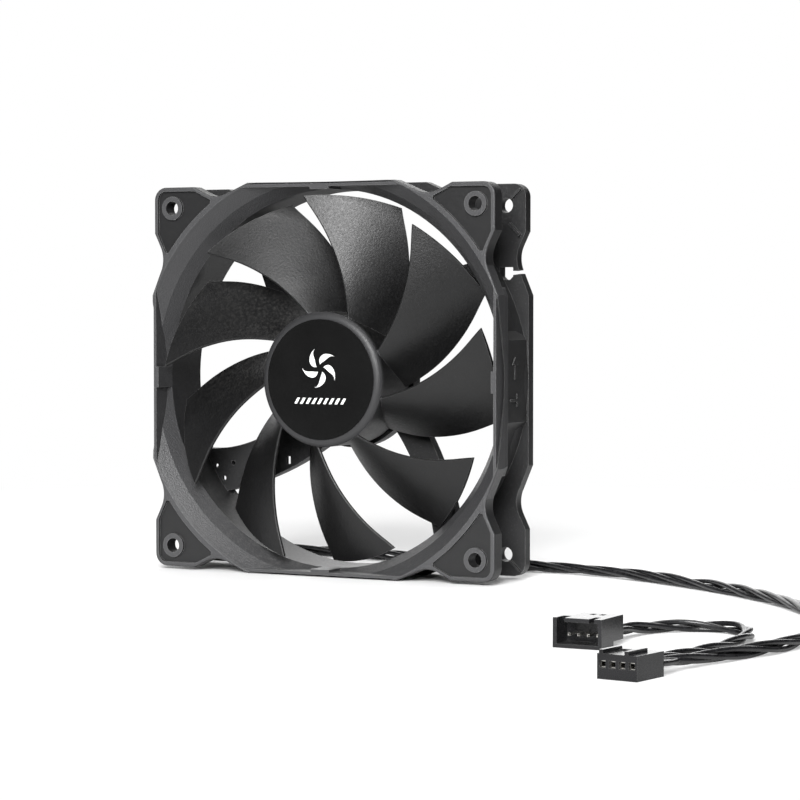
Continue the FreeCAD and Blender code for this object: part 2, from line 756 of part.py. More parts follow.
def make_core():
    body = new_body("stator_core")
    sketch = new_sketch(body, "ring", "core_rear")
    draw_circle(sketch, "core_ring")
    draw_circle(sketch, "tube_bore + tube_wall")
    feature(body, "Pad", sketch, "ring_pad", "core_front - core_rear")
    sketch = new_sketch(body, "pole", "core_rear")
    half = "neck_width / 2"
    wide_inner = "shoe_inner * 0.67"
    wide_outer = "core_radius * 0.67"
    neck_reach = "sqrt(shoe_inner^2 - (" + half + ")^2)"
    inner_reach = "sqrt(shoe_inner^2 - (" + wide_inner + ")^2)"
    outer_reach = "sqrt(core_radius^2 - (" + wide_outer + ")^2)"
    draw_outline(sketch, [
        ("core_ring - 1.5", "-(" + half + ")"), (neck_reach, "-(" + half + ")", "shoe_inner", -1),
        (inner_reach, "-(" + wide_inner + ")"),
        (outer_reach, "-(" + wide_outer + ")", "core_radius", 1),
        (outer_reach, wide_outer), (inner_reach, wide_inner, "shoe_inner", -1),
        (neck_reach, half), ("core_ring - 1.5", half)])
    pole = feature(body, "Pad", sketch, "pole_pad", "core_front - core_rear")
    pattern(body, [pole], "poles", 4)
    return body


def make_former(name, end, backward):
    """Plastic coil former over one end of the core: a plate, a spool round each neck and its flanges."""
    body = new_body(name)
    sketch = new_sketch(body, "plate", end)
    draw_circle(sketch, "core_ring")
    draw_circle(sketch, "tube_bore + tube_wall")
    feature(body, "Pad", sketch, "plate_pad", "former_wall", backward)
    half = "(neck_width / 2 + former_wall)"
    sketch = new_sketch(body, "spool", end)
    draw_box(sketch, "core_ring - 1", "coil_outer + former_wall", "-" + half, half)
    spool = feature(body, "Pad", sketch, "spool_pad", "former_wall", backward)
    sketch = new_sketch(body, "cheeks", end)
    for side in ("-", ""):
        draw_box(sketch, "coil_inner - former_wall", "coil_outer + former_wall",
                 side + "neck_width / 2", side + half)
    cheeks = feature(body, "Pad", sketch, "cheek_pad", "(core_front - core_rear) * 0.45", not backward)
    sketch = new_sketch(body, "flanges", end)
    for low in ("coil_inner - former_wall", "coil_outer"):
        draw_box(sketch, low, low + " + former_wall", "-(neck_width / 2)", "neck_width / 2")
    flanges = feature(body, "Pad", sketch, "flange_pad", "former_flange", backward)
    pattern(body, [spool, cheeks, flanges], "spools", 4)
    return body


def make_coils():
    """Four windings, each a square ring round a pole's neck, as one group."""
    gap = 0.05
    wall = size("former_wall") + gap
    build = size("coil_build") - 2 * gap
    inner_x, outer_x = size("coil_inner") + gap, size("coil_outer") - gap
    half = size("neck_width") / 2 + wall
    low, high = size("core_rear") - wall, size("core_front") + wall
    outer = Part.makeBox(outer_x - inner_x, 2 * (half + build), high - low + 2 * build,
                         Vector(inner_x, -half - build, low - build))
    corner_edges = [e for e in outer.Edges if abs(e.Length - (outer_x - inner_x)) < 1e-6]
    outer = outer.makeFillet(build * 0.6, corner_edges)
    hollow = Part.makeBox(outer_x - inner_x, 2 * half, high - low, Vector(inner_x, -half, low))
    coil = outer.cut(hollow)
    coils = doc.addObject("Part::Feature", "coils")
    turned_coils = []
    for number in range(4):
        copy = coil.copy()
        copy.rotate(Vector(0, 0, 0), UP, 90 * number)
        turned_coils.append(copy)
    coils.Shape = Part.makeCompound(turned_coils)
    coils.Placement = TILT
    coils.Label = "coils"
    return coils


def group(name, pieces, placement=TILT):
    made = doc.addObject("Part::Compound", name)
    made.Label = name
    made.Links = pieces
    made.Placement = placement
    return made


def box_piece(name, lengths, corner):
    made = doc.addObject("Part::Box", name)
    for path, text in zip(("Length", "Width", "Height"), lengths):
        bind(made, path, text)
    for path, text in zip(("x", "y", "z"), corner):
        bind(made, "Placement.Base." + path, text)
    return made


PASSIVES = ((60, 2.0, 0.9), (80, 1.6, 0.7), (100, 1.6, 0.7), (120, 2.0, 1.1))    # angle, length, height
PASSIVE_WIDTH = 1.2
PASSIVE_RING = 16.5
SOLDER_RING = 17.6
SOLDER_START = 212.0    # angle of the first solder joint, and the step to the next
SOLDER_STEP = 7.0


def make_stator():
    board = new_body("circuit_board")
    sketch = new_sketch(board, "board", "board_front")
    draw_circle(sketch, "board_radius")
    draw_circle(sketch, "tube_bore + tube_wall + 0.2")
    feature(board, "Pad", sketch, "board_pad", "board_thick", True)
    chip_parts = [box_piece("chip_body", ("3.0", "4.4", "1.2"), ("-18.2", "-2.2", "board_front + 0.1"))]
    for number in range(4):
        for side in (-1, 1):
            corner = ("-17.0 + %g" % (1.8 * side), "%g" % (-1.85 + 1.1 * number), "board_front")
            chip_parts.append(box_piece("chip_leg_%d_%d" % (number, side + 1), ("0.6", "0.4", "0.5"), corner))
    chip = doc.addObject("Part::MultiFuse", "driver_chip")
    chip.Label = "driver_chip"
    chip.Shapes = chip_parts
    chip.Placement = TILT
    passives = []
    for number, (angle, long, tall) in enumerate(PASSIVES):
        part = doc.addObject("Part::Box", "passive_%d" % number)
        part.Length, part.Width, part.Height = long, PASSIVE_WIDTH, tall
        turn = math.radians(angle)
        spot = Vector(PASSIVE_RING * math.cos(turn), PASSIVE_RING * math.sin(turn), 0)
        part.Placement = Placement(spot, Rotation(UP, angle))
        bind(part, "Placement.Base.z", "board_front")
        passives.append(part)
    joints = []
    for number in range(4):
        cone = doc.addObject("Part::Cone", "solder_%d" % number)
        cone.Radius1, cone.Radius2 = 0.9, 0.35
        bind(cone, "Height", "0.7")
        cone.Placement = Placement(solder_spot(number), Rotation(UP, 0))
        bind(cone, "Placement.Base.z", "board_front")
        joints.append(cone)
    return [
        ring("bearing_sleeve", "shaft_radius + running_gap", "tube_bore", "sleeve_rear", "sleeve_front"),
        disc("thrust_washer", "thrust_radius", "tube_floor", "tube_floor + thrust_thick"),
        make_core(),
        make_former("front_coil_former", "core_front", False),
        make_former("rear_coil_former", "core_rear", True),
        make_coils(),
        board,
        chip,
        group("passives", passives),
        group("solder_joints", joints),
        disc("rear_label", "rear_label_radius", REAR, "rear_label_thick - half_depth"),
    ]


def solder_spot(number):
    """Where a wire's end is soldered to the board, near the cable channel."""
    angle = math.radians(SOLDER_START + SOLDER_STEP * number)
    return Vector(SOLDER_RING * math.cos(angle), SOLDER_RING * math.sin(angle), 0)


# ---------------------------------------------------------------- wires

FLOOR = -size("half_size")
LEAD_REST = FLOOR + size("lead_dia") / 2 + 0.05
TAIL_REST = FLOOR + size("tail_dia") / 2 + 0.05


def channel_place(angle):
    """Centre of the lead in the cable channel, in the row frame."""
    x = size(channel_spot("0", angle)[0])
    y = size(channel_spot("0", angle)[1])
    depth = size("half_depth - cable_strut_rise + channel_floor + lead_dia / 2 + 0.03")
    return Vector(y, depth, -x)


def rounded_path(points):
    """Straight runs joined by tangent arcs, each as large as its two runs allow."""
    edges, radii = [], []
    last = points[0]
    for before, corner, after in zip(points, points[1:], points[2:]):
        back, ahead = before - corner, after - corner
        share = 0.45 * min(back.Length, ahead.Length)
        turn = math.pi - back.getAngle(ahead)
        radii.append(share / math.tan(turn / 2))
        back.normalize()
        ahead.normalize()
        start, stop = corner + back * share, corner + ahead * share
        inward = (back + ahead).normalize()
        middle = corner + inward * (radii[-1] / math.cos(turn / 2) - radii[-1])
        edges.append(Part.LineSegment(last, start).toShape())
        edges.append(Part.Arc(start, middle, stop).toShape())
        last = stop
    edges.append(Part.LineSegment(last, points[-1]).toShape())
    return Part.Wire(edges), radii


def make_tube(name, points, diameter):
    path, radii = rounded_path(points)
    start = Part.Wire([Part.Circle(points[0], points[1] - points[0], diameter / 2).toShape()])
    solid = path.makePipeShell([start], True, False)
    tube = doc.addObject("Part::Feature", name)
    tube.Shape = solid
    tube.Label = name
    expected = math.pi * diameter ** 2 / 4 * path.Length
    print("%s: length %.1f, volume / (section x length) %.4f, radii %s" % (
        name, path.Length, solid.Volume / expected, [round(r, 1) for r in radii]))
    if abs(solid.Volume / expected - 1) > 0.01:
        raise RuntimeError(name + " has the wrong volume")
    return tube


SOCKET_PLACE = Vector(170.0, -172.0, FLOOR)    # under the middle of the socket connector
SOCKET_TURN = -8.0
PLUG_PLACE = Vector(140.0, -125.0, FLOOR)      # under the middle of the pin connector
PLUG_TURN = 0.0
LEAD_SIDE = 2.4        # the two leads enter the socket's back this far either side of its middle


def local_to_row(place, turn, x, y, z):
    """A connector's own x sideways, y up, z towards its mating face, in the row frame."""
    spot = Rotation(UP, turn).multVec(TILT.multVec(Vector(x, y, z)))
    return place + spot


def make_wires():
    half_socket = size("socket_length / 2")
    lead_height = size("socket_height / 2")
    inside = [channel_place(angle) for angle in (LEAD_START,) + LEAD_BENDS + (LEAD_LEAVES,)]
    lead_end = local_to_row(SOCKET_PLACE, SOCKET_TURN, LEAD_SIDE, lead_height, -half_socket)
    lead_before = local_to_row(SOCKET_PLACE, SOCKET_TURN, LEAD_SIDE + 0.2, lead_height - 0.6,
                               -half_socket - 15)
    lead_points = [
        inside[-1],
        channel_place(LEAD_OUTSIDE),
        Vector(-57.5, 22.0, -32.5),
        Vector(-60.5, 29.0, -45.5),
        Vector(-55.0, 38.0, -56.0),
        Vector(-42.0, 45.0, LEAD_REST),
        Vector(-25.0, 46.5, LEAD_REST),
        Vector(-8.0, 43.0, LEAD_REST),
        Vector(16.0, 36.0, LEAD_REST),
        Vector(41.0, 33.0, LEAD_REST),
        Vector(66.0, 31.0, LEAD_REST),
        Vector(90.0, 23.0, LEAD_REST),
        Vector(112.0, 10.0, LEAD_REST),
        Vector(133.0, -5.0, LEAD_REST),
        Vector(152.0, -23.0, LEAD_REST),
        Vector(168.0, -44.0, LEAD_REST),
        Vector(180.0, -68.0, LEAD_REST),
        Vector(186.0, -93.0, LEAD_REST),
        Vector(185.5, -115.0, LEAD_REST),
        Vector(180.5, -134.0, LEAD_REST),
        lead_before,
        lead_end,
    ]
    tail_start = local_to_row(PLUG_PLACE, PLUG_TURN, 0, size("plug_height / 2"),
                              size("-(shroud_depth + plug_length) / 2"))
    tail_end = local_to_row(SOCKET_PLACE, SOCKET_TURN, -LEAD_SIDE, lead_height, -half_socket)
    tail_before = local_to_row(SOCKET_PLACE, SOCKET_TURN, -LEAD_SIDE - 0.2, lead_height - 0.6,
                               -half_socket - 14)
    tail_points = [
        tail_start,
        tail_start + Vector(0.3, 12.5, -0.8),
        Vector(143.5, -93.5, TAIL_REST),
        Vector(151.0, -86.0, TAIL_REST),
        Vector(161.0, -85.5, TAIL_REST),
        Vector(168.5, -92.0, TAIL_REST),
        Vector(172.0, -104.5, TAIL_REST),
        Vector(172.8, -120.0, TAIL_REST),
        Vector(172.0, -136.0, TAIL_REST),
        tail_before,
        tail_end,
    ]
    return [
        make_tube("lead_in_channel", inside, size("lead_dia")),
        make_tube("main_lead", lead_points, size("lead_dia")),
        make_tube("tail_lead", tail_points, size("tail_dia")),
    ]


def make_wire_ends():
    """The four short wire ends that run from the channel to their solder joints on the board."""
    start = TILT.inverse().multVec(channel_place(LEAD_START))
    ends = []
    for number in range(4):
        spot = solder_spot(number)
        spot.z = size("board_front - board_thick - wire_dia / 2 - 0.05")
        root = Vector(start.x, start.y, spot.z)
        way = root - spot
        stop = way.Length - 0.3
        wire = doc.addObject("Part::Cylinder", "wire_end_%d" % number)
        bind(wire, "Radius", "wire_dia / 2 - 0.35")
        wire.Height = max(stop - 1.9, 0.8)
        wire.Placement = Placement(spot, Rotation(UP, way))
        ends.append(wire)
    return group("wire_ends", ends)


# ---------------------------------------------------------------- connectors

def connector_placement(place, turn, middle, rise):
    """Turn a connector's mating face to the row's -Y and stand it on the floor."""
    lift = Placement(Vector(0, rise, middle), Rotation())
    stand = Placement(place, Rotation(UP, turn))
    return stand * TILT * lift


def pin_places():
    return ["(%g) * pin_pitch" % (number - 1.5) for number in range(4)]


def make_socket_connector():
    """Four-way socket housing: mating face at z 0, wires leave at z -socket_length."""
    place = connector_placement(SOCKET_PLACE, SOCKET_TURN, size("socket_length / 2"),
                                size("socket_height / 2"))
    body = new_body("socket_housing", place)
    sketch = new_sketch(body, "block")
    edge = "socket_width / 2"
    top = "socket_height / 2"
    draw_outline(sketch, [("-" + edge, "-" + top), (edge, "-" + top), (edge, top), ("-" + edge, top)])
    feature(body, "Pad", sketch, "block_pad", "socket_length", True)
    sketch = new_sketch(body, "ribs")
    left_rib = ("-" + edge + " + 0.5", "-" + edge + " + 1.5")
    right_rib = ("pin_pitch * 0.75", "pin_pitch * 0.75 + 1.0")
    for x0, x1 in (left_rib, right_rib):
        draw_box(sketch, x0, x1, top + " - 0.2", top + " + rib_height")
    feature(body, "Pad", sketch, "rib_pad", "socket_length * 0.72", True)
    sketch = new_sketch(body, "step", "-socket_length * 0.62")
    draw_box(sketch, "-" + edge + " + 1.5", "pin_pitch * 0.75", top + " - 0.2", top + " + 0.35")
    feature(body, "Pad", sketch, "step_pad", "socket_length * 0.1", True)
    sketch = new_sketch(body, "windows", "-socket_length * 0.62")
    for x in pin_places():
        draw_box(sketch, x + " - 0.45", x + " + 0.45", "-" + top, "-(" + top + " - 0.8)")
    feature(body, "Pocket", sketch, "window_pocket", "socket_length * 0.2")
    sketch = new_sketch(body, "cavities")
    half = "cavity / 2"
    for x in pin_places():
        draw_box(sketch, x + " - " + half, x + " + " + half, "cavity_rise - " + half, "cavity_rise + " + half)
    feature(body, "Pocket", sketch, "cavity_pocket", "socket_length - 1.0")
    contacts = new_contacts(place)
    return [body, contacts]


def new_contacts(place):
    """The four crimp contacts: square tubes set back in the housing's cavities."""
    outer = size("cavity - 2 * contact_gap")
    inner = outer - 2 * size("contact_wall")
    rise = size("cavity_rise")
    long = size("socket_length") - 2.4
    shapes = []
    for text in pin_places():
        x = size(text)
        block = Part.makeBox(outer, outer, long, Vector(x - outer / 2, rise - outer / 2, -long - 0.6))
        hollow = Part.makeBox(inner, inner, long * 0.6, Vector(x - inner / 2, rise - inner / 2, -long * 0.6 - 0.6))
        shapes.append(block.cut(hollow))
    made = doc.addObject("Part::Feature", "socket_contacts")
    made.Shape = Part.makeCompound(shapes)
    made.Placement = place
    made.Label = "socket_contacts"
    return made


PIN_RISE = -0.4        # the pins' row against the shroud's middle


def make_pin_connector():
    """Shrouded four-pin plug: mating face at z 0, the block behind it narrower than the shroud."""
    middle = size("(shroud_depth + plug_length) / 2")
    place = connector_placement(PLUG_PLACE, PLUG_TURN, middle, size("shroud_height / 2"))
    body = new_body("pin_housing", place)
    right = "(plug_width / 2)"
    left = "(-(shroud_width - plug_width / 2))"
    top = "(shroud_height / 2)"
    sketch = new_sketch(body, "shroud")
    draw_box(sketch, left, right, "-" + top, top)
    feature(body, "Pad", sketch, "shroud_pad", "shroud_depth", True)
    sketch = new_sketch(body, "block", "-shroud_depth")
    draw_box(sketch, "-" + right, right, "-" + top + " + 1.4", top)
    feature(body, "Pad", sketch, "block_pad", "plug_length", True)
    sketch = new_sketch(body, "hollow")
    draw_box(sketch, left + " + shroud_wall", right + " - shroud_wall",
             "-" + top + " + shroud_wall", top + " - shroud_wall")
    feature(body, "Pocket", sketch, "hollow_pocket", "shroud_depth - 0.8")
    sketch = new_sketch(body, "slots")
    under, over = top + " - shroud_wall - 0.1", top + " + 0.1"
    draw_box(sketch, left + " + shroud_wall", left + " + shroud_wall + 2.2", under, over)
    draw_box(sketch, right + " - shroud_wall - 2.4", right + " - shroud_wall - 0.9", under, over)
    feature(body, "Pocket", sketch, "slot_pocket", "shroud_depth * 0.6")
    sketch = new_sketch(body, "grooves", "-shroud_depth - 1.6")
    for x in ("-2.0", "0.6"):
        draw_box(sketch, x, x + " + 1.4", top + " - 0.5", top + " + 0.1")
    feature(body, "Pocket", sketch, "groove_pocket", "2.2")
    pins = []
    half = size("pin_size / 2")
    reach = size("pin_reach")
    back = size("shroud_depth") + 2.0
    for text in pin_places():
        x = size(text)
        shank = Part.makeBox(2 * half, 2 * half, back - (size("shroud_depth") - reach) - half,
                             Vector(x - half, PIN_RISE - half, -back))
        tip = Part.makeCone(half * 0.98, half * 0.45, half * 1.4,
                            Vector(x, PIN_RISE, -back + shank.BoundBox.ZLength))
        pins.append(shank.fuse(tip))
    pin_band = ("%g - pin_size / 2" % PIN_RISE, "%g + pin_size / 2" % PIN_RISE)
    sketch = new_sketch(body, "pin_seats", "-shroud_depth")
    for text in pin_places():
        draw_box(sketch, text + " - pin_size / 2", text + " + pin_size / 2", *pin_band)
    feature(body, "Pocket", sketch, "pin_seat_pocket", "2.0")
    sketch = new_sketch(body, "pin_holes", "-(shroud_depth - 0.8)")
    for text in pin_places():
        draw_box(sketch, text + " - pin_size / 2", text + " + pin_size / 2", *pin_band)
    feature(body, "Pocket", sketch, "pin_hole_pocket", "0.8")
    made = doc.addObject("Part::Feature", "plug_pins")
    made.Shape = Part.makeCompound(pins)
    made.Placement = place
    made.Label = "plug_pins"
    return [body, made]


# ---------------------------------------------------------------- build, check and write

nodes = [make_frame()]
nodes += make_rotor()
nodes += make_stator()
nodes += make_wires()
nodes.append(make_wire_ends())
nodes += make_socket_connector()
nodes += make_pin_connector()
doc.recompute()

faults = [o.Name for o in doc.Objects if {"Invalid", "Error"} & set(o.State)]
for node in nodes:
    if node.Shape.isNull() or not node.Shape.isValid() or not node.Shape.Solids:
        faults.append(node.Label + " has no valid shape")
if faults:
    raise RuntimeError("failed: " + ", ".join(faults))
os.makedirs("parts", exist_ok=True)
for node in nodes:
    node.Shape.exportStep(os.path.join("parts", node.Label + ".step"))
    print("%-20s solids %d volume %.1f mm3" % (node.Label, len(node.Shape.Solids), node.Shape.Volume))
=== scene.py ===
"""Case fan: finishes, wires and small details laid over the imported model."""

import math

import bmesh
import bpy
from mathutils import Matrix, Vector


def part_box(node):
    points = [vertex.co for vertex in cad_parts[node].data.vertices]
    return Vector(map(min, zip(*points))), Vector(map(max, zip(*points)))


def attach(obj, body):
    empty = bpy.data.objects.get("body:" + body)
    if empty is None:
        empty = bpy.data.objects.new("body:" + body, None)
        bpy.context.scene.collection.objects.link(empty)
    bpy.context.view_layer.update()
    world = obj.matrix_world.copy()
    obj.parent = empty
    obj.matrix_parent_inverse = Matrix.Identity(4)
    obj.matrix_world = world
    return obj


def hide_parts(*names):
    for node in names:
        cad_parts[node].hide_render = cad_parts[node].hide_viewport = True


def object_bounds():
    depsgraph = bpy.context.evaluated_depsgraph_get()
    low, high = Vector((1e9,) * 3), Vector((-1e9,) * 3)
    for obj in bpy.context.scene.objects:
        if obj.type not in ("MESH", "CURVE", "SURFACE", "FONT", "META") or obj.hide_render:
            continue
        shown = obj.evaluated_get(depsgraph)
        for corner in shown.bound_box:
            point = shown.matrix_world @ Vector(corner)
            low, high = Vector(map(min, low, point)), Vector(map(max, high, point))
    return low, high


bl_info = {
    "name": "Case fan",
    "version": (1, 0, 0),
    "blender": (4, 5, 0),
    "location": "3D view > Sidebar > Case fan",
    "description": "Finishes, wires, printed emblem and studio for a 120 mm case fan",
    "category": "Object",
}

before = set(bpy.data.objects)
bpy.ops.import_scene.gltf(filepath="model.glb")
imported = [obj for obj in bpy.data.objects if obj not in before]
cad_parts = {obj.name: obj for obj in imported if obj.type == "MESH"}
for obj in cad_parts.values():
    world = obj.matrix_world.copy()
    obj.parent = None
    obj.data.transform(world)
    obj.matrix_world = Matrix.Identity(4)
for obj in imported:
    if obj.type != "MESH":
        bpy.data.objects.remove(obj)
CAD_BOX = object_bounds()

MM = 0.001
UP = Vector((0.0, 0.0, 1.0))

# The lead's route from the hub along the strut's channel, then down behind the fan, along the
# floor and round to the socket connector, in millimetres.
CHANNEL_ROUTE = (
    (-14.69, 10.63, -15.15),
    (-21.77, 10.63, -19.39),
    (-29.33, 10.63, -23.15),
    (-36.98, 10.63, -26.27),
)
MAIN_ROUTE = (
    (-36.98, 10.63, -26.27),
    (-48.73, 10.63, -29.82),
    (-57.5, 22.0, -32.5),
    (-60.5, 29.0, -45.5),
    (-55.0, 38.0, -56.0),
    (-42.0, 45.0, -58.15),
    (-25.0, 46.5, -58.15),
    (-8.0, 43.0, -58.15),
    (16.0, 36.0, -58.15),
    (41.0, 33.0, -58.15),
    (66.0, 31.0, -58.15),
    (90.0, 23.0, -58.15),
    (112.0, 10.0, -58.15),
    (133.0, -5.0, -58.15),
    (152.0, -23.0, -58.15),
    (168.0, -44.0, -58.15),
    (180.0, -68.0, -58.15),
    (186.0, -93.0, -58.15),
    (185.5, -115.0, -58.15),
    (180.5, -134.0, -58.15),
    (175.48, -151.71, -57.7),
    (173.19, -166.54, -57.1),
)
TAIL_ROUTE = (
    (140.0, -118.4, -57.0),
    (140.3, -105.9, -57.8),
    (143.5, -93.5, -58.35),
    (151.0, -86.0, -58.35),
    (161.0, -85.5, -58.35),
    (168.5, -92.0, -58.35),
    (172.0, -104.5, -58.35),
    (172.8, -120.0, -58.35),
    (172.0, -136.0, -58.35),
    (170.19, -151.98, -57.7),
    (168.44, -165.87, -57.1),
)

# The two bundles: how many wires, and how far each lies from the middle, in wire diameters.
MAIN_WIRES = 4
MAIN_SPREAD = 0.76
TAIL_WIRES = 3
TAIL_SPREAD = 0.66
TAIL_LAY = 0.7       # the tail's lay as a share of the main lead's
ROW_PITCH = 1.06     # wire diameters from wire to wire where they enter the socket
PLUG_PITCH = 2.2     # millimetres from wire to wire where they enter the pin connector

# The hub emblem: leaves of the pinwheel and dashes under it.
PETALS = 5
DASHES = 9

# The rear label's print: inner and outer radii of its rings, height and half length of its rules.
PRINTED_RINGS = ((16.72, 17.08), (15.82, 15.98))
PRINTED_RULES = ((4.0, 9.0), (0.0, 11.5), (-4.0, 9.0))
RULE_HALF = 0.5

# The side panel's distance from the middle, and its arrows: name, height and whether it lies down.
SIDE_PANEL = 59.4
SIDE_ARROWS = (("spin_arrow", 3.9, False), ("airflow_arrow", -5.6, True))

# The lights: where each stands, in metres, and the length of its side.
KEY_LIGHT = ((0.45, -1.42, 0.72), 0.85)
SIDE_LIGHT = ((-1.1, -1.0, 0.5), 0.9)
TOP_LIGHT = ((0.1, 0.25, 1.3), 1.1)
BACK_LIGHT = ((-0.75, 1.5, 0.3), 1.6)
LIT_SPOT = (0.03, -0.03, 0.0)


# ---------------------------------------------------------------- sizes and colours


def length_property(name, description, default):
    return bpy.props.FloatProperty(
        name=name, description=description, default=default, min=0.0, precision=5,
        unit="LENGTH", subtype="DISTANCE",
    )


def angle_property(name, description, degrees):
    return bpy.props.FloatProperty(
        name=name, description=description, default=math.radians(degrees),
        unit="ROTATION", subtype="ANGLE",
    )


def colour_property(name, description, default):
    return bpy.props.FloatVectorProperty(
        name=name, description=description, default=default, size=3, min=0.0, max=1.0,
        subtype="COLOR",
    )


class CameraSizes(bpy.types.PropertyGroup):
    azimuth: angle_property("Azimuth", "How far the camera stands right of the front", 27.756)
    tilt: angle_property("Tilt", "How far the camera looks down", 2.208)
    lens: bpy.props.FloatProperty(
        name="Lens", description="Focal length of the camera", default=124.84, unit="CAMERA",
    )
    place: bpy.props.FloatVectorProperty(
        name="Place", description="Where the camera stands", default=(0.41273, -0.74427, 0.02622),
        size=3, precision=4, unit="LENGTH", subtype="TRANSLATION",
    )


class LeadSizes(bpy.types.PropertyGroup):
    wire: length_property("Wire", "Diameter of one insulated wire", 1.4 * MM)
    main_diameter: length_property("Main lead", "Diameter of the bundle of four wires", 3.6 * MM)
    tail_diameter: length_property("Tail lead", "Diameter of the bundle of three wires", 3.2 * MM)
    main_length: length_property("Main length", "From the strut to the connector", 434.0 * MM)
    tail_length: length_property("Tail length", "Between the two connectors", 129.0 * MM)
    lay: length_property("Lay", "Length in which the bundle twists once", 62.0 * MM)
    step: length_property("Step", "Distance between the rings of a wire's mesh", 1.3 * MM)


class DetailSizes(bpy.types.PropertyGroup):
    emblem_radius: length_property("Emblem", "Radius of the pinwheel on the hub label", 6.2 * MM)
    emblem_rise: length_property("Emblem rise", "Height of the pinwheel above the shaft", 3.4 * MM)
    dash_wide: length_property("Dash width", "Width of a dash under the pinwheel", 0.95 * MM)
    dash_tall: length_property("Dash height", "Height of a dash", 1.8 * MM)
    dash_pitch: length_property("Dash pitch", "From one dash to the next", 2.0 * MM)
    dash_lean: length_property("Dash lean", "How far a dash's ends lean either way", 0.55 * MM)
    dash_top: bpy.props.FloatProperty(
        name="Dash top", description="Height of the dashes' tops above the shaft",
        default=-5.6 * MM, unit="LENGTH",
    )
    print_depth: length_property("Print", "Thickness of the printed marks", 0.03 * MM)
    arrow_long: length_property("Arrow length", "Length of an arrow on the side panel", 6.6 * MM)
    arrow_wide: length_property("Arrow width", "Width of an arrow's head", 4.0 * MM)
    arrow_rise: length_property("Arrow rise", "How far an arrow stands off the panel", 0.45 * MM)


class FinishColours(bpy.types.PropertyGroup):
    housing: colour_property("Housing", "Moulded plastic of the frame", (0.0115, 0.0115, 0.012))
    rotor: colour_property("Rotor", "Moulded plastic of the impeller", (0.0035, 0.0035, 0.0037))
    label: colour_property("Label", "Film of the two round labels", (0.006, 0.006, 0.006))
    print_white: colour_property("Print", "Ink on the labels", (0.86, 0.86, 0.85))
    wire: colour_property("Wire", "Insulation of the wires", (0.008, 0.008, 0.009))
    connector: colour_property("Connector", "Plastic of the two connectors", (0.010, 0.010, 0.011))


class StageSizes(bpy.types.PropertyGroup):
    floor_radius: length_property("Floor", "Radius of the floor", 6.0)
    floor_colour: colour_property("Floor colour", "Paint of the floor", (0.9, 0.9, 0.9))
    key_power: bpy.props.FloatProperty(
        name="Key light", description="Power of the light at the front right",
        default=52.0, min=0.0, unit="POWER",
    )
    side_power: bpy.props.FloatProperty(
        name="Side light", description="Power of the light at the left",
        default=1.2, min=0.0, unit="POWER",
    )
    top_power: bpy.props.FloatProperty(
        name="Top light", description="Power of the light overhead",
        default=12.0, min=0.0, unit="POWER",
    )
    back_power: bpy.props.FloatProperty(
        name="Back light", description="Power of the light behind the fan",
        default=22.0, min=0.0, unit="POWER",
    )
    room: bpy.props.FloatProperty(
        name="Room", description="Brightness of the pale room", default=0.02, min=0.0,
    )


# ---------------------------------------------------------------- shader node groups


def new_group(name, inputs, outputs):
    """A shader node group with number inputs (label, value) and number outputs."""
    group = bpy.data.node_groups.new(name, "ShaderNodeTree")
    for label, value in inputs:
        socket = group.interface.new_socket(label, in_out="INPUT", socket_type="NodeSocketFloat")
        socket.default_value = value
    for label in outputs:
        group.interface.new_socket(label, in_out="OUTPUT", socket_type="NodeSocketFloat")
    return group, group.nodes.new("NodeGroupInput"), group.nodes.new("NodeGroupOutput")


def math_node(tree, operation, first, second=None, clamp=False):
    """A Math node; each of first and second is a number or another node's output."""
    node = tree.nodes.new("ShaderNodeMath")
    node.operation = operation
    node.use_clamp = clamp
    for slot, value in enumerate((first, second)):
        if isinstance(value, (int, float)):
            node.inputs[slot].default_value = value
        elif value is not None:
            tree.links.new(value, node.inputs[slot])
    return node.outputs[0]


def ramp(tree, value, low, high, bottom=0.0, top=1.0):
    """A value mapped from low..high to bottom..top and clamped there."""
    node = tree.nodes.new("ShaderNodeMapRange")
    tree.links.new(value, node.inputs["Value"])
    for label, number in (
        ("From Min", low), ("From Max", high), ("To Min", bottom), ("To Max", top),
    ):
        node.inputs[label].default_value = number
    return node.outputs["Result"]


def noise(tree, place, scale, detail=2.0, roughness=0.5):
    node = tree.nodes.new("ShaderNodeTexNoise")
    tree.links.new(place, node.inputs["Vector"])
    if isinstance(scale, (int, float)):
        node.inputs["Scale"].default_value = scale
    else:
        tree.links.new(scale, node.inputs["Scale"])
    node.inputs["Detail"].default_value = detail
    node.inputs["Roughness"].default_value = roughness
    return node.outputs["Fac"]


def object_place(tree):
    return tree.nodes.new("ShaderNodeTexCoord").outputs["Object"]


def moulded_grain():
    """Fine spark-eroded texture, and the slow cloudiness of a moulded surface."""
    tree, start, end = new_group(
        "Moulded grain", (("Grain", 2600.0), ("Cloud", 70.0)), ("Height", "Mottle", "Speck"),
    )
    place = object_place(tree)
    fine = noise(tree, place, start.outputs["Grain"], 3.0, 0.62)
    cloud = noise(tree, place, start.outputs["Cloud"], 4.0, 0.55)
    tree.links.new(fine, end.inputs["Height"])
    tree.links.new(ramp(tree, cloud, 0.34, 0.66), end.inputs["Mottle"])
    tree.links.new(ramp(tree, fine, 0.56, 0.68), end.inputs["Speck"])
    return tree


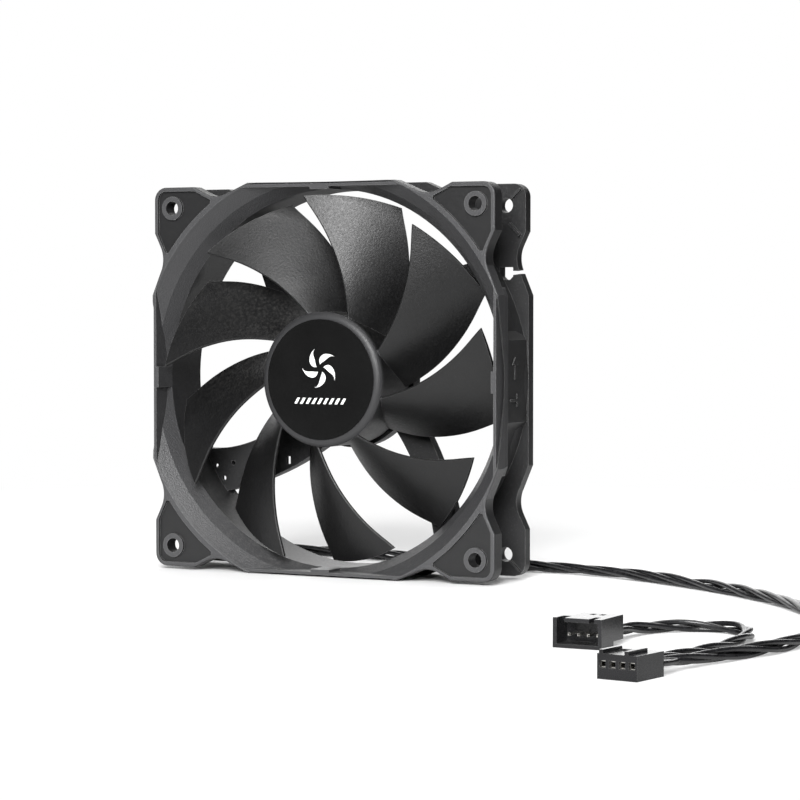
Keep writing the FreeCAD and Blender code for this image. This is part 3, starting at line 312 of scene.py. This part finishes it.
def painted_edge_highlights():
    """A painted highlight where the surface turns a corner within the given width, broken up a
    little.
    """
    tree, start, end = new_group("Painted edge highlights", (("Width", 0.0003),), ("Edge",))
    bevel = tree.nodes.new("ShaderNodeBevel")
    bevel.samples = 4
    tree.links.new(start.outputs["Width"], bevel.inputs["Radius"])
    flat = tree.nodes.new("ShaderNodeNewGeometry")
    dot = tree.nodes.new("ShaderNodeVectorMath")
    dot.operation = "DOT_PRODUCT"
    tree.links.new(bevel.outputs["Normal"], dot.inputs[0])
    tree.links.new(flat.outputs["Normal"], dot.inputs[1])
    turn = ramp(tree, math_node(tree, "SUBTRACT", 1.0, dot.outputs["Value"]), 0.015, 0.22)
    broken = ramp(tree, noise(tree, object_place(tree), 420.0, 3.0), 0.3, 0.6, 0.45, 1.0)
    tree.links.new(math_node(tree, "MULTIPLY", turn, broken), end.inputs["Edge"])
    return tree


def settled_dust():
    """A little dust on what faces up."""
    tree, start, end = new_group("Settled dust", (("Amount", 0.1),), ("Dust",))
    split = tree.nodes.new("ShaderNodeSeparateXYZ")
    facing = tree.nodes.new("ShaderNodeNewGeometry")
    tree.links.new(facing.outputs["Normal"], split.inputs["Vector"])
    up = ramp(tree, split.outputs["Z"], 0.35, 1.0)
    flecks = ramp(tree, noise(tree, object_place(tree), 900.0, 4.0, 0.7), 0.46, 0.7)
    dust = math_node(tree, "MULTIPLY", up, flecks)
    tree.links.new(math_node(tree, "MULTIPLY", dust, start.outputs["Amount"]), end.inputs["Dust"])
    return tree


def axis_radius(tree):
    """Distance from the shaft's axis, and depth along it."""
    split = tree.nodes.new("ShaderNodeSeparateXYZ")
    tree.links.new(object_place(tree), split.inputs["Vector"])
    across = math_node(tree, "MULTIPLY", split.outputs["X"], split.outputs["X"])
    high = math_node(tree, "MULTIPLY", split.outputs["Z"], split.outputs["Z"])
    radius = math_node(tree, "SQRT", math_node(tree, "ADD", across, high))
    return radius, split.outputs["Y"]


def turned_zone():
    """A mask for what lies between two radii and two depths about the shaft."""
    tree, start, end = new_group(
        "Turned zone",
        (("Inner", 0.0), ("Outer", 0.1), ("Front", -0.02), ("Back", 0.02)),
        ("Mask",),
    )
    radius, depth = axis_radius(tree)
    mask = math_node(tree, "GREATER_THAN", radius, start.outputs["Inner"])
    for value, limit, operation in (
        (radius, "Outer", "LESS_THAN"),
        (depth, "Front", "GREATER_THAN"),
        (depth, "Back", "LESS_THAN"),
    ):
        test = math_node(tree, operation, value, start.outputs[limit])
        mask = math_node(tree, "MULTIPLY", mask, test)
    tree.links.new(mask, end.inputs["Mask"])
    return tree


def lathe_marks():
    """Fine rings about the shaft, as a turned or wound part has."""
    tree, start, end = new_group("Lathe marks", (("Rings", 6000.0),), ("Height",))
    radius, depth = axis_radius(tree)
    join = tree.nodes.new("ShaderNodeCombineXYZ")
    tree.links.new(radius, join.inputs["X"])
    tree.links.new(depth, join.inputs["Y"])
    marks = noise(tree, join.outputs["Vector"], start.outputs["Rings"], 1.0)
    tree.links.new(marks, end.inputs["Height"])
    return tree


# ---------------------------------------------------------------- materials


def use_group(tree, group, values):
    node = tree.nodes.new("ShaderNodeGroup")
    node.node_tree = group
    for label, value in values:
        node.inputs[label].default_value = value
    return node


def mixed(tree, factor, first, second):
    """Colour first turning to second by factor; first may be another node's output."""
    node = tree.nodes.new("ShaderNodeMix")
    node.data_type = "RGBA"
    tree.links.new(factor, node.inputs["Factor"])
    if isinstance(first, bpy.types.NodeSocket):
        tree.links.new(first, node.inputs[6])
    else:
        node.inputs[6].default_value = (*first, 1.0)
    node.inputs[7].default_value = (*second, 1.0)
    return node.outputs[2]


def shade(colour, factor):
    return tuple(min(1.0, channel * factor) for channel in colour)


DUST_COLOUR = (0.32, 0.31, 0.29)
DUST_ROUGHNESS = 0.4
SPECK_TINT = 3.4
ZONE_STRENGTH = 0.8


class Workshop:
    """The shared node groups and the finishes made from them."""

    def __init__(self):
        self.grain = moulded_grain()
        self.edges = painted_edge_highlights()
        self.dust = settled_dust()
        self.zone = turned_zone()
        self.lathe = lathe_marks()

    def finish(
        self, name, colour, roughness, grain=2600.0, bump=0.35, depth=0.03, spread=1.35,
        edge=None, edge_width=0.3, dust=0.0, metallic=0.0, gloss=0.5, rings=None, zones=(),
        specks=0.35,
    ):
        """A material: mottled colour, grained roughness and bump, painted edge highlights and
        dust.

        Each zone is (inner, outer, front, back, tint, rougher, coarser): the ring about the shaft
        that it fills, in millimetres, then how its colour, roughness and grain differ.
        """
        material = bpy.data.materials.new(name)
        material.use_nodes = True
        tree = material.node_tree
        shader = tree.nodes["Principled BSDF"]
        shader.inputs["Metallic"].default_value = metallic
        shader.inputs["Specular IOR Level"].default_value = gloss
        grained = use_group(tree, self.grain, (("Grain", grain),))
        mottle = grained.outputs["Mottle"]
        colours = mixed(tree, mottle, shade(colour, 1.0 / spread), shade(colour, spread))
        speckled = math_node(tree, "MULTIPLY", grained.outputs["Speck"], specks)
        colours = mixed(tree, speckled, colours, shade(colour, SPECK_TINT))
        rough = ramp(tree, grained.outputs["Height"], 0.3, 0.7, roughness - 0.06, roughness + 0.07)
        height = grained.outputs["Height"]
        for inner, outer, front, back, tint, rougher, coarser in zones:
            limits = (
                ("Inner", inner * MM), ("Outer", outer * MM), ("Front", front * MM),
                ("Back", back * MM),
            )
            mask = use_group(tree, self.zone, limits).outputs["Mask"]
            tinted = math_node(tree, "MULTIPLY", mask, ZONE_STRENGTH)
            colours = mixed(tree, tinted, colours, shade(colour, tint))
            rough = math_node(tree, "ADD", rough, math_node(tree, "MULTIPLY", mask, rougher))
            gain = math_node(tree, "ADD", math_node(tree, "MULTIPLY", mask, coarser), 1.0)
            height = math_node(tree, "MULTIPLY", height, gain)
        # The edge colour is a highlight painted along the corners.
        if edge:
            edge_highlight = use_group(tree, self.edges, (("Width", edge_width * MM),)).outputs["Edge"]
            colours = mixed(tree, edge_highlight, colours, edge)
        if dust:
            settled = use_group(tree, self.dust, (("Amount", dust),)).outputs["Dust"]
            colours = mixed(tree, settled, colours, DUST_COLOUR)
            dulled = math_node(tree, "MULTIPLY", settled, DUST_ROUGHNESS)
            rough = math_node(tree, "ADD", rough, dulled, clamp=True)
        if rings:
            marks = use_group(tree, self.lathe, (("Rings", rings),)).outputs["Height"]
            height = math_node(tree, "ADD", height, marks)
        tree.links.new(colours, shader.inputs["Base Color"])
        tree.links.new(rough, shader.inputs["Roughness"])
        relief = tree.nodes.new("ShaderNodeBump")
        relief.inputs["Strength"].default_value = bump
        relief.inputs["Distance"].default_value = depth * MM
        tree.links.new(height, relief.inputs["Height"])
        tree.links.new(relief.outputs["Normal"], shader.inputs["Normal"])
        return material


workshop = None


def paint(material, *names):
    """Give CAD nodes a finish."""
    for name in names:
        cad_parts[name].data.materials[0] = material


# ---------------------------------------------------------------- mesh helpers


def new_piece(name, mesh, body, material, replaced=()):
    """Put a mesh in the scene on a CAD body, with its finish."""
    piece = bpy.data.objects.new(name, mesh)
    bpy.context.scene.collection.objects.link(piece)
    mesh.materials.append(material)
    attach(piece, body)
    if replaced:
        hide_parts(*replaced)
    return piece


def route_line(points):
    """The points along the smooth spline that has a route's points as its control points."""
    curve = bpy.data.curves.new("route", "CURVE")
    curve.dimensions = "3D"
    curve.resolution_u = 20
    spline = curve.splines.new("NURBS")
    spline.points.add(len(points) - 1)
    for point, place in zip(spline.points, points):
        point.co = (*(value * MM for value in place), 1.0)
    spline.order_u = 3
    spline.use_endpoint_u = True
    holder = bpy.data.objects.new("route", curve)
    mesh = bpy.data.meshes.new_from_object(holder)
    line = [vertex.co.copy() for vertex in mesh.vertices]
    bpy.data.objects.remove(holder)
    bpy.data.curves.remove(curve)
    bpy.data.meshes.remove(mesh)
    return line


def even_steps(line, step):
    """The same line with its points a step apart, and each point's distance along it."""
    run = [0.0]
    for first, second in zip(line, line[1:]):
        run.append(run[-1] + (second - first).length)
    count = max(2, round(run[-1] / step))
    places = []
    piece = 0
    for number in range(count + 1):
        along = run[-1] * number / count
        while piece < len(line) - 2 and run[piece + 1] < along:
            piece += 1
        span = run[piece + 1] - run[piece]
        part = (along - run[piece]) / span if span else 0.0
        places.append((line[piece].lerp(line[piece + 1], part), along))
    return places


def carried_frames(points):
    """A tangent and two normals at each point, carried along without twisting."""
    frames = []
    normal = None
    for number in range(len(points)):
        before = points[max(0, number - 1)]
        after = points[min(len(points) - 1, number + 1)]
        tangent = (after - before).normalized()
        if normal is None:
            normal = tangent.cross(UP).normalized()
        normal = (normal - tangent * normal.dot(tangent)).normalized()
        frames.append((tangent, normal, tangent.cross(normal)))
    return frames


def add_tube(bm, points, radius, sides=12):
    """A closed round tube along the points."""
    rings = []
    for point, (_, first, second) in zip(points, carried_frames(points)):
        ring = []
        for side in range(sides):
            angle = math.tau * side / sides
            outward = first * math.cos(angle) + second * math.sin(angle)
            ring.append(bm.verts.new(point + outward * radius))
        rings.append(ring)
    for ring, following in zip(rings, rings[1:]):
        for side in range(sides):
            beside = (side + 1) % sides
            bm.faces.new((ring[side], ring[beside], following[beside], following[side]))
    bm.faces.new(reversed(rings[0]))
    bm.faces.new(rings[-1])


def finished_mesh(bm, name, smooth_below=40.0):
    """The bmesh as a mesh with outward faces, smooth where it turns gently."""
    bmesh.ops.recalc_face_normals(bm, faces=bm.faces)
    mesh = bpy.data.meshes.new(name)
    bm.to_mesh(mesh)
    bm.free()
    for face in mesh.polygons:
        face.use_smooth = True
    mesh.set_sharp_from_angle(angle=math.radians(smooth_below))
    return mesh


def smooth_step(value):
    value = min(1.0, max(0.0, value))
    return value * value * (3.0 - 2.0 * value)


# Lengths over which a bundle's wires spread to a row at a connector, loosen and tighten, and
# twist unevenly.
FAN_OUT = 17.0 * MM
SLOW_WANDER = 19.0 * MM
QUICK_WANDER = 7.3 * MM
UNEVEN_TWIST = 31.0 * MM


def wire_places(line, count, spacing, lay, start_row, end_row, floor, radius):
    """The middles of a bundle's wires along a line.

    They twist round each other, and lie in a flat row at an end that has a row spacing.
    """
    points = [place for place, _ in line]
    frames = carried_frames(points)
    total = line[-1][1]
    wires = [[] for _ in range(count)]
    for (place, along), (tangent, first, second) in zip(line, frames):
        level = tangent.cross(UP).normalized()
        start_share = 1.0 - smooth_step(along / FAN_OUT) if start_row else 0.0
        end_share = 1.0 - smooth_step((total - along) / FAN_OUT) if end_row else 0.0
        slow, quick = math.sin(along / SLOW_WANDER), math.sin(along / QUICK_WANDER + 1.1)
        wander = 1.0 + 0.12 * slow + 0.08 * quick
        for number in range(count):
            angle = math.tau * (along / lay + number / count)
            angle += 0.35 * math.sin(along / UNEVEN_TWIST + number)
            twisted = (first * math.cos(angle) + second * math.sin(angle)) * spacing * wander
            rank = number - (count - 1) / 2
            offset = twisted.lerp(level * rank * (start_row or 0.0), start_share)
            offset = offset.lerp(level * rank * (end_row or 0.0), end_share)
            middle = place + offset
            middle.z = max(middle.z, floor + radius)
            wires[number].append(middle)
    return wires


def wires_mesh(name, wires, radius):
    bm = bmesh.new()
    for wire in wires:
        add_tube(bm, wire, radius)
    return finished_mesh(bm, name)


def add_plate(bm, outline, place, thick):
    """A thin plate: an outline of (across, up) corners, turned into place(across, up, depth)."""
    front = [bm.verts.new(place(across, up, thick)) for across, up in outline]
    back = [bm.verts.new(place(across, up, 0.0)) for across, up in outline]
    bm.faces.new(front)
    bm.faces.new(reversed(back))
    for number in range(len(outline)):
        beside = (number + 1) % len(outline)
        bm.faces.new((front[beside], front[number], back[number], back[beside]))


def add_ring(bm, inner, outer, place, thick, steps=96):
    """A thin flat ring, turned into place(across, up, depth)."""
    loops = []
    for reach, depth in ((inner, 0.0), (inner, thick), (outer, thick), (outer, 0.0)):
        turns = [math.tau * number / steps for number in range(steps)]
        loops.append([
            bm.verts.new(place(reach * math.sin(turn), reach * math.cos(turn), depth))
            for turn in turns
        ])
    for loop, following in zip(loops, loops[1:] + loops[:1]):
        for number in range(steps):
            beside = (number + 1) % steps
            bm.faces.new((loop[number], loop[beside], following[beside], following[number]))


# ---------------------------------------------------------------- operators


class CASEFAN_OT_camera(bpy.types.Operator):
    """Stand the camera to the right of the fan's front"""
    bl_idname = "case_fan.camera"
    bl_label = "Camera"

    def execute(self, context):
        sizes = context.scene.case_fan_camera
        data = bpy.data.cameras.new("camera")
        data.lens = sizes.lens
        data.sensor_width = 36.0
        data.clip_start = 0.01
        camera = bpy.data.objects.new("camera", data)
        context.scene.collection.objects.link(camera)
        level = math.cos(sizes.tilt)
        look = Vector((
            -math.sin(sizes.azimuth) * level,
            math.cos(sizes.azimuth) * level,
            -math.sin(sizes.tilt),
        ))
        camera.location = sizes.place
        camera.rotation_mode = "QUATERNION"
        camera.rotation_quaternion = look.to_track_quat("-Z", "Y")
        context.scene.camera = camera
        return {"FINISHED"}


class CASEFAN_OT_main_lead(bpy.types.Operator):
    """Run four black wires from the hub through the strut's channel to the socket connector"""
    bl_idname = "case_fan.main_lead"
    bl_label = "Main lead"

    def execute(self, context):
        sizes = context.scene.case_fan_lead
        colours = context.scene.case_fan_colours
        floor = CAD_BOX[0].z
        radius = sizes.wire / 2
        material = workshop.finish(
            "wire insulation", colours.wire, 0.3, grain=900.0, bump=0.25, depth=0.04, spread=1.5,
            dust=0.1,
        )
        inside = even_steps(route_line(CHANNEL_ROUTE), sizes.step)
        outside = even_steps(route_line(MAIN_ROUTE), sizes.step)
        shared = inside[-1][1]
        whole = inside + [(place, along + shared) for place, along in outside[1:]]
        wires = wire_places(
            whole, MAIN_WIRES, sizes.wire * MAIN_SPREAD, sizes.lay, None, sizes.wire * ROW_PITCH,
            floor, radius,
        )
        split = len(inside) - 1
        channel = new_piece(
            "wires_in_channel",
            wires_mesh("wires_in_channel", [wire[: split + 1] for wire in wires], radius),
            "housing", material, ("lead_in_channel",),
        )
        lead = new_piece(
            "main_lead_wires",
            wires_mesh("main_lead_wires", [wire[split:] for wire in wires], radius),
            "housing", material, ("main_lead",),
        )
        if not channel.data.polygons or not lead.data.polygons:
            raise RuntimeError("the main lead has no wires")
        paint(material, "wire_ends")
        return {"FINISHED"}


class CASEFAN_OT_tail_lead(bpy.types.Operator):
    """Loop three black wires from the pin connector back to the socket connector"""
    bl_idname = "case_fan.tail_lead"
    bl_label = "Tail lead"

    def execute(self, context):
        sizes = context.scene.case_fan_lead
        radius = sizes.wire / 2
        line = even_steps(route_line(TAIL_ROUTE), sizes.step)
        wires = wire_places(
            line, TAIL_WIRES, sizes.wire * TAIL_SPREAD, sizes.lay * TAIL_LAY, PLUG_PITCH * MM,
            sizes.wire * ROW_PITCH, CAD_BOX[0].z, radius,
        )
        piece = new_piece(
            "tail_lead_wires", wires_mesh("tail_lead_wires", wires, radius),
            "housing", bpy.data.materials["wire insulation"], ("tail_lead",),
        )
        if not piece.data.polygons:
            raise RuntimeError("the tail lead has no wires")
        return {"FINISHED"}


class CASEFAN_OT_housing(bpy.types.Operator):
    """Give the frame its fine matte black moulding texture and painted highlights"""
    bl_idname = "case_fan.housing"
    bl_label = "Frame finish"

    def execute(self, context):
        colour = context.scene.case_fan_colours.housing
        # The front face and intake flare get a coarser grain and a lighter tint that paints a
        # highlight.
        pocket_floors = (62.0, 90.0, -11.8, -11.5, 0.8, -0.05, -0.75)
        intake_flare_grain_and_highlight = (57.0, 66.0, -12.3, -4.2, 3.6, -0.04, 1.6)
        front_face_grain_and_highlight = (57.0, 90.0, -12.6, -12.3, 5.0, 0.0, 1.8)
        material = workshop.finish(
            "frame plastic", colour, 0.5, grain=2100.0, bump=0.6, depth=0.1,
            # edge: the colour of the highlight painted on the frame's edges
            edge=(0.13, 0.13, 0.13), edge_width=0.35, dust=0.16, specks=0.6,
            zones=(pocket_floors, intake_flare_grain_and_highlight, front_face_grain_and_highlight),
        )
        paint(material, "frame")
        return {"FINISHED"}


class CASEFAN_OT_rotor(bpy.types.Operator):
    """Give the impeller its satin black and both labels their film"""
    bl_idname = "case_fan.rotor"
    bl_label = "Impeller and labels"

    def execute(self, context):
        colours = context.scene.case_fan_colours
        rim = (17.5, 21.0, -12.0, -9.5, 8.0, 0.05, -0.2)
        material = workshop.finish(
            "impeller plastic", colours.rotor, 0.43, grain=1500.0, bump=0.55, depth=0.12,
            # edge: the colour of the highlight painted on the impeller's edges
            edge=(0.12, 0.12, 0.12), edge_width=0.22, dust=0.12, zones=(rim,),
        )
        paint(material, "impeller")
        label = workshop.finish(
            "label film", colours.label, 0.2, grain=1500.0, bump=0.04, depth=0.01, spread=1.15,
            dust=0.04, gloss=0.35, specks=0.05,
        )
        paint(label, "hub_label", "rear_label")
        return {"FINISHED"}


class CASEFAN_OT_motor(bpy.types.Operator):
    """Finish the parts of the motor inside the hub"""
    bl_idname = "case_fan.motor"
    bl_label = "Motor finishes"

    def execute(self, context):
        metals = (
            ("drawn steel", (0.46, 0.46, 0.45), 0.34, 5200.0, ("rotor_yoke",)),
            ("ground steel", (0.56, 0.56, 0.55), 0.2, 9000.0, ("shaft",)),
            ("turned brass", (0.62, 0.45, 0.18), 0.28, 7000.0, ("shaft_insert",)),
            ("sintered bronze", (0.36, 0.22, 0.11), 0.5, 3200.0, ("bearing_sleeve",)),
            ("stamped core steel", (0.30, 0.30, 0.31), 0.42, 4600.0, ("stator_core",)),
            ("enamelled copper", (0.50, 0.20, 0.07), 0.26, 2300.0, ("coils",)),
            ("bright solder", (0.60, 0.60, 0.58), 0.3, 2600.0, ("solder_joints",)),
        )
        for name, colour, roughness, rings, nodes in metals:
            material = workshop.finish(
                name, colour, roughness, bump=0.3, metallic=1.0, rings=rings, spread=1.12,
                # edge: a lighter copy of the metal, painted on its edges as a highlight
                edge=shade(colour, 1.3), edge_width=0.15,
            )
            paint(material, *nodes)
        plastics = (
            ("bonded magnet", (0.035, 0.034, 0.033), 0.6, 3100.0, ("magnet_ring",)),
            ("coil former nylon", (0.52, 0.50, 0.44), 0.45, 1800.0, (
                "front_coil_former", "rear_coil_former", "oil_slinger", "retaining_clip",
                "thrust_washer",
            )),
            ("board lacquer", (0.012, 0.055, 0.022), 0.3, 1200.0, ("circuit_board",)),
            ("chip resin", (0.018, 0.018, 0.019), 0.55, 4200.0, ("driver_chip",)),
            ("fired ceramic", (0.46, 0.36, 0.24), 0.4, 3600.0, ("passives",)),
        )
        for name, colour, roughness, grain, nodes in plastics:
            material = workshop.finish(
                # edge: a lighter copy of the plastic, painted on its edges as a highlight
                name, colour, roughness, grain=grain, edge=shade(colour, 1.6), edge_width=0.15,
            )
            paint(material, *nodes)
        return {"FINISHED"}


class CASEFAN_OT_connectors(bpy.types.Operator):
    """Finish the glossy connector housings and their tinned pins"""
    bl_idname = "case_fan.connectors"
    bl_label = "Connectors"

    def execute(self, context):
        colour = context.scene.case_fan_colours.connector
        material = workshop.finish(
            "connector plastic", colour, 0.27, grain=4200.0, bump=0.1, depth=0.02,
            # edge: the colour of the highlight painted on the connectors' edges
            edge=(0.09, 0.09, 0.09), edge_width=0.16, dust=0.02, specks=0.03,
        )
        paint(material, "socket_housing", "pin_housing")
        tinned = workshop.finish(
            "tinned contact", (0.72, 0.70, 0.66), 0.22, grain=5200.0, bump=0.12, metallic=1.0,
            # edge: the colour of the highlight painted on the contacts' edges
            spread=1.08, edge=(0.85, 0.84, 0.8), edge_width=0.1,
        )
        paint(tinned, "socket_contacts", "plug_pins")
        return {"FINISHED"}


class CASEFAN_OT_hub_emblem(bpy.types.Operator):
    """Print a plain pinwheel over a row of slanted dashes on the hub label"""
    bl_idname = "case_fan.hub_emblem"
    bl_label = "Hub emblem"

    def execute(self, context):
        sizes = context.scene.case_fan_details
        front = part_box("hub_label")[0].y
        sink = 0.01 * MM

        def on_label(across, up, depth):
            return Vector((across, front + sink - depth, up))

        bm = bmesh.new()
        for petal in range(PETALS):
            turn = math.tau * petal / PETALS
            outline = petal_outline(sizes.emblem_radius, turn)
            outline = [(across, up + sizes.emblem_rise) for across, up in outline]
            add_plate(bm, outline, on_label, sizes.print_depth + sink)
        half = sizes.dash_wide / 2
        lean = sizes.dash_lean
        high = sizes.dash_top
        low = high - sizes.dash_tall
        for number in range(DASHES):
            middle = (number - (DASHES - 1) / 2) * sizes.dash_pitch
            outline = (
                (middle - half - lean, low), (middle + half - lean, low),
                (middle + half + lean, high), (middle - half + lean, high),
            )
            add_plate(bm, outline, on_label, sizes.print_depth + sink)
        ink = workshop.finish(
            "white ink", context.scene.case_fan_colours.print_white, 0.5, grain=3200.0, bump=0.1,
            depth=0.01, spread=1.04,
        )
        new_piece("hub_emblem", finished_mesh(bm, "hub_emblem"), "rotor", ink)
        return {"FINISHED"}


def petal_outline(radius, turn, samples=14):
    """A curved leaf that sweeps out from the middle."""
    inner, sweep, swell = 0.2, 0.95, 0.62
    edges = ([], [])
    for number in range(samples + 1):
        share = number / samples
        reach = radius * (inner + (1.0 - inner) * share)
        lean = turn + sweep * share * share
        half = swell * math.sin(math.pi * share ** 0.8) * (1.0 - 0.55 * share)
        for edge, angle in zip(edges, (lean + half, lean - half * 0.35)):
            edge.append((reach * math.sin(angle), reach * math.cos(angle)))
    return edges[0] + edges[1][-2:0:-1]


class CASEFAN_OT_side_arrows(bpy.types.Operator):
    """Raise the spin and airflow arrows on the frame's right side panel"""
    bl_idname = "case_fan.side_arrows"
    bl_label = "Side arrows"

    def execute(self, context):
        sizes = context.scene.case_fan_details
        panel = SIDE_PANEL * MM
        sink = 0.05 * MM
        middle_depth = 0.1 * MM
        long, wide = sizes.arrow_long, sizes.arrow_wide
        shaft, head = 0.85 * MM, 2.3 * MM
        arrow = (
            (-shaft / 2, -long / 2), (shaft / 2, -long / 2), (shaft / 2, long / 2 - head),
            (wide / 2, long / 2 - head), (0.0, long / 2), (-wide / 2, long / 2 - head),
            (-shaft / 2, long / 2 - head),
        )
        for name, height, lying in SIDE_ARROWS:

            def on_panel(across, up, depth, height=height, lying=lying):
                if lying:
                    across, up = up, across
                return Vector((panel - sink + depth, middle_depth + across, height * MM + up))

            bm = bmesh.new()
            add_plate(bm, arrow, on_panel, sizes.arrow_rise + sink)
            piece = new_piece(
                name, finished_mesh(bm, name), "housing",
                bpy.data.materials["frame plastic"],
            )
            bevel = piece.modifiers.new("rounded", "BEVEL")
            bevel.width = 0.09 * MM
            bevel.segments = 2
        return {"FINISHED"}


class CASEFAN_OT_rear_print(bpy.types.Operator):
    """Print two rings and three plain rules on the rear label"""
    bl_idname = "case_fan.rear_print"
    bl_label = "Rear label print"

    def execute(self, context):
        sizes = context.scene.case_fan_details
        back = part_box("rear_label")[1].y
        sink = 0.01 * MM

        def on_label(across, up, depth):
            return Vector((across, back - sink + depth, up))

        bm = bmesh.new()
        for inner, outer in PRINTED_RINGS:
            add_ring(bm, inner * MM, outer * MM, on_label, sizes.print_depth + sink)
        for height, half in PRINTED_RULES:
            low, high = (height - RULE_HALF) * MM, (height + RULE_HALF) * MM
            outline = ((-half * MM, low), (half * MM, low), (half * MM, high), (-half * MM, high))
            add_plate(bm, outline, on_label, sizes.print_depth + sink)
        new_piece(
            "rear_print", finished_mesh(bm, "rear_print"), "housing",
            bpy.data.materials["white ink"],
        )
        return {"FINISHED"}


class CASEFAN_OT_stage(bpy.types.Operator):
    """Lay a pale floor in a pale room and hang four soft lights"""
    bl_idname = "case_fan.stage"
    bl_label = "Stage"

    def execute(self, context):
        sizes = context.scene.case_fan_stage
        bm = bmesh.new()
        bmesh.ops.create_circle(bm, cap_ends=True, radius=sizes.floor_radius, segments=64)
        floor_mesh = finished_mesh(bm, "floor")
        floor = bpy.data.objects.new("floor", floor_mesh)
        floor.location.z = CAD_BOX[0].z
        context.scene.collection.objects.link(floor)
        floor_mesh.materials.append(floor_paint(sizes.floor_colour))
        for name, (place, size), power in (
            ("key light", KEY_LIGHT, sizes.key_power),
            ("side light", SIDE_LIGHT, sizes.side_power),
            ("top light", TOP_LIGHT, sizes.top_power),
            ("back light", BACK_LIGHT, sizes.back_power),
        ):
            light = bpy.data.lights.new(name, "AREA")
            light.shape = "SQUARE"
            light.size = size
            light.energy = power
            lamp = bpy.data.objects.new(name, light)
            lamp.location = place
            aim = Vector(LIT_SPOT) - Vector(place)
            lamp.rotation_mode = "QUATERNION"
            lamp.rotation_quaternion = aim.to_track_quat("-Z", "Y")
            context.scene.collection.objects.link(lamp)
        world = bpy.data.worlds.new("pale room")
        world.use_nodes = True
        tree = world.node_tree
        room = tree.nodes["Background"]
        room.inputs["Strength"].default_value = sizes.room
        room.inputs["Color"].default_value = (1.0, 1.0, 1.0, 1.0)
        seen = tree.nodes.new("ShaderNodeBackground")
        seen.inputs["Color"].default_value = (1.0, 1.0, 1.0, 1.0)
        seen.inputs["Strength"].default_value = 1.0
        path = tree.nodes.new("ShaderNodeLightPath")
        mix = tree.nodes.new("ShaderNodeMixShader")
        tree.links.new(path.outputs["Is Camera Ray"], mix.inputs["Fac"])
        tree.links.new(room.outputs[0], mix.inputs[1])
        tree.links.new(seen.outputs[0], mix.inputs[2])
        tree.links.new(mix.outputs[0], tree.nodes["World Output"].inputs["Surface"])
        context.scene.world = world
        context.scene.view_settings.view_transform = "Standard"
        return {"FINISHED"}


def floor_paint(colour):
    """Pale floor that fades into the pale room far from the fan."""
    material = bpy.data.materials.new("floor paint")
    material.use_nodes = True
    tree = material.node_tree
    shader = tree.nodes["Principled BSDF"]
    shader.inputs["Roughness"].default_value = 0.85
    shader.inputs["Specular IOR Level"].default_value = 0.1
    place = object_place(tree)
    cloud = ramp(tree, noise(tree, place, 3.0, 3.0), 0.3, 0.7)
    clouded = mixed(tree, cloud, shade(colour, 0.985), shade(colour, 1.01))
    tree.links.new(clouded, shader.inputs["Base Color"])
    distance = tree.nodes.new("ShaderNodeVectorMath")
    distance.operation = "LENGTH"
    tree.links.new(place, distance.inputs[0])
    glow = tree.nodes.new("ShaderNodeEmission")
    seen = tree.nodes.new("ShaderNodeLightPath").outputs["Is Camera Ray"]
    tree.links.new(ramp(tree, seen, 0.0, 1.0, 0.05, 1.0), glow.inputs["Strength"])
    mix = tree.nodes.new("ShaderNodeMixShader")
    tree.links.new(ramp(tree, distance.outputs["Value"], 0.1, 0.4), mix.inputs["Fac"])
    tree.links.new(shader.outputs[0], mix.inputs[1])
    tree.links.new(glow.outputs[0], mix.inputs[2])
    tree.links.new(mix.outputs[0], tree.nodes["Material Output"].inputs["Surface"])
    return material


OPERATORS = (
    CASEFAN_OT_camera,
    CASEFAN_OT_main_lead,
    CASEFAN_OT_tail_lead,
    CASEFAN_OT_housing,
    CASEFAN_OT_rotor,
    CASEFAN_OT_motor,
    CASEFAN_OT_connectors,
    CASEFAN_OT_hub_emblem,
    CASEFAN_OT_side_arrows,
    CASEFAN_OT_rear_print,
    CASEFAN_OT_stage,
)
SIZES = (
    ("case_fan_camera", CameraSizes, "Camera"),
    ("case_fan_lead", LeadSizes, "Wires"),
    ("case_fan_details", DetailSizes, "Details"),
    ("case_fan_colours", FinishColours, "Colours"),
    ("case_fan_stage", StageSizes, "Stage"),
)


class CASEFAN_PT_panel(bpy.types.Panel):
    """Lists the fan's pieces and their sizes"""
    bl_label = "Case fan"
    bl_idname = "CASEFAN_PT_panel"
    bl_space_type = "VIEW_3D"
    bl_region_type = "UI"
    bl_category = "Case fan"

    def draw(self, context):
        for operator in OPERATORS:
            self.layout.operator(operator.bl_idname)
        for attribute, group, label in SIZES:
            box = self.layout.box()
            box.label(text=label)
            for name in group.__annotations__:
                box.prop(getattr(context.scene, attribute), name)


def register():
    for attribute, group, _ in SIZES:
        bpy.utils.register_class(group)
        setattr(bpy.types.Scene, attribute, bpy.props.PointerProperty(type=group))
    for operator in OPERATORS:
        bpy.utils.register_class(operator)
    bpy.utils.register_class(CASEFAN_PT_panel)


def unregister():
    bpy.utils.unregister_class(CASEFAN_PT_panel)
    for operator in reversed(OPERATORS):
        bpy.utils.unregister_class(operator)
    for attribute, group, _ in reversed(SIZES):
        delattr(bpy.types.Scene, attribute)
        bpy.utils.unregister_class(group)


def main():
    global workshop
    register()
    workshop = Workshop()
    for operator in OPERATORS:
        group, name = operator.bl_idname.split(".")
        getattr(getattr(bpy.ops, group), name)()


if __name__ == "__main__":
    main()
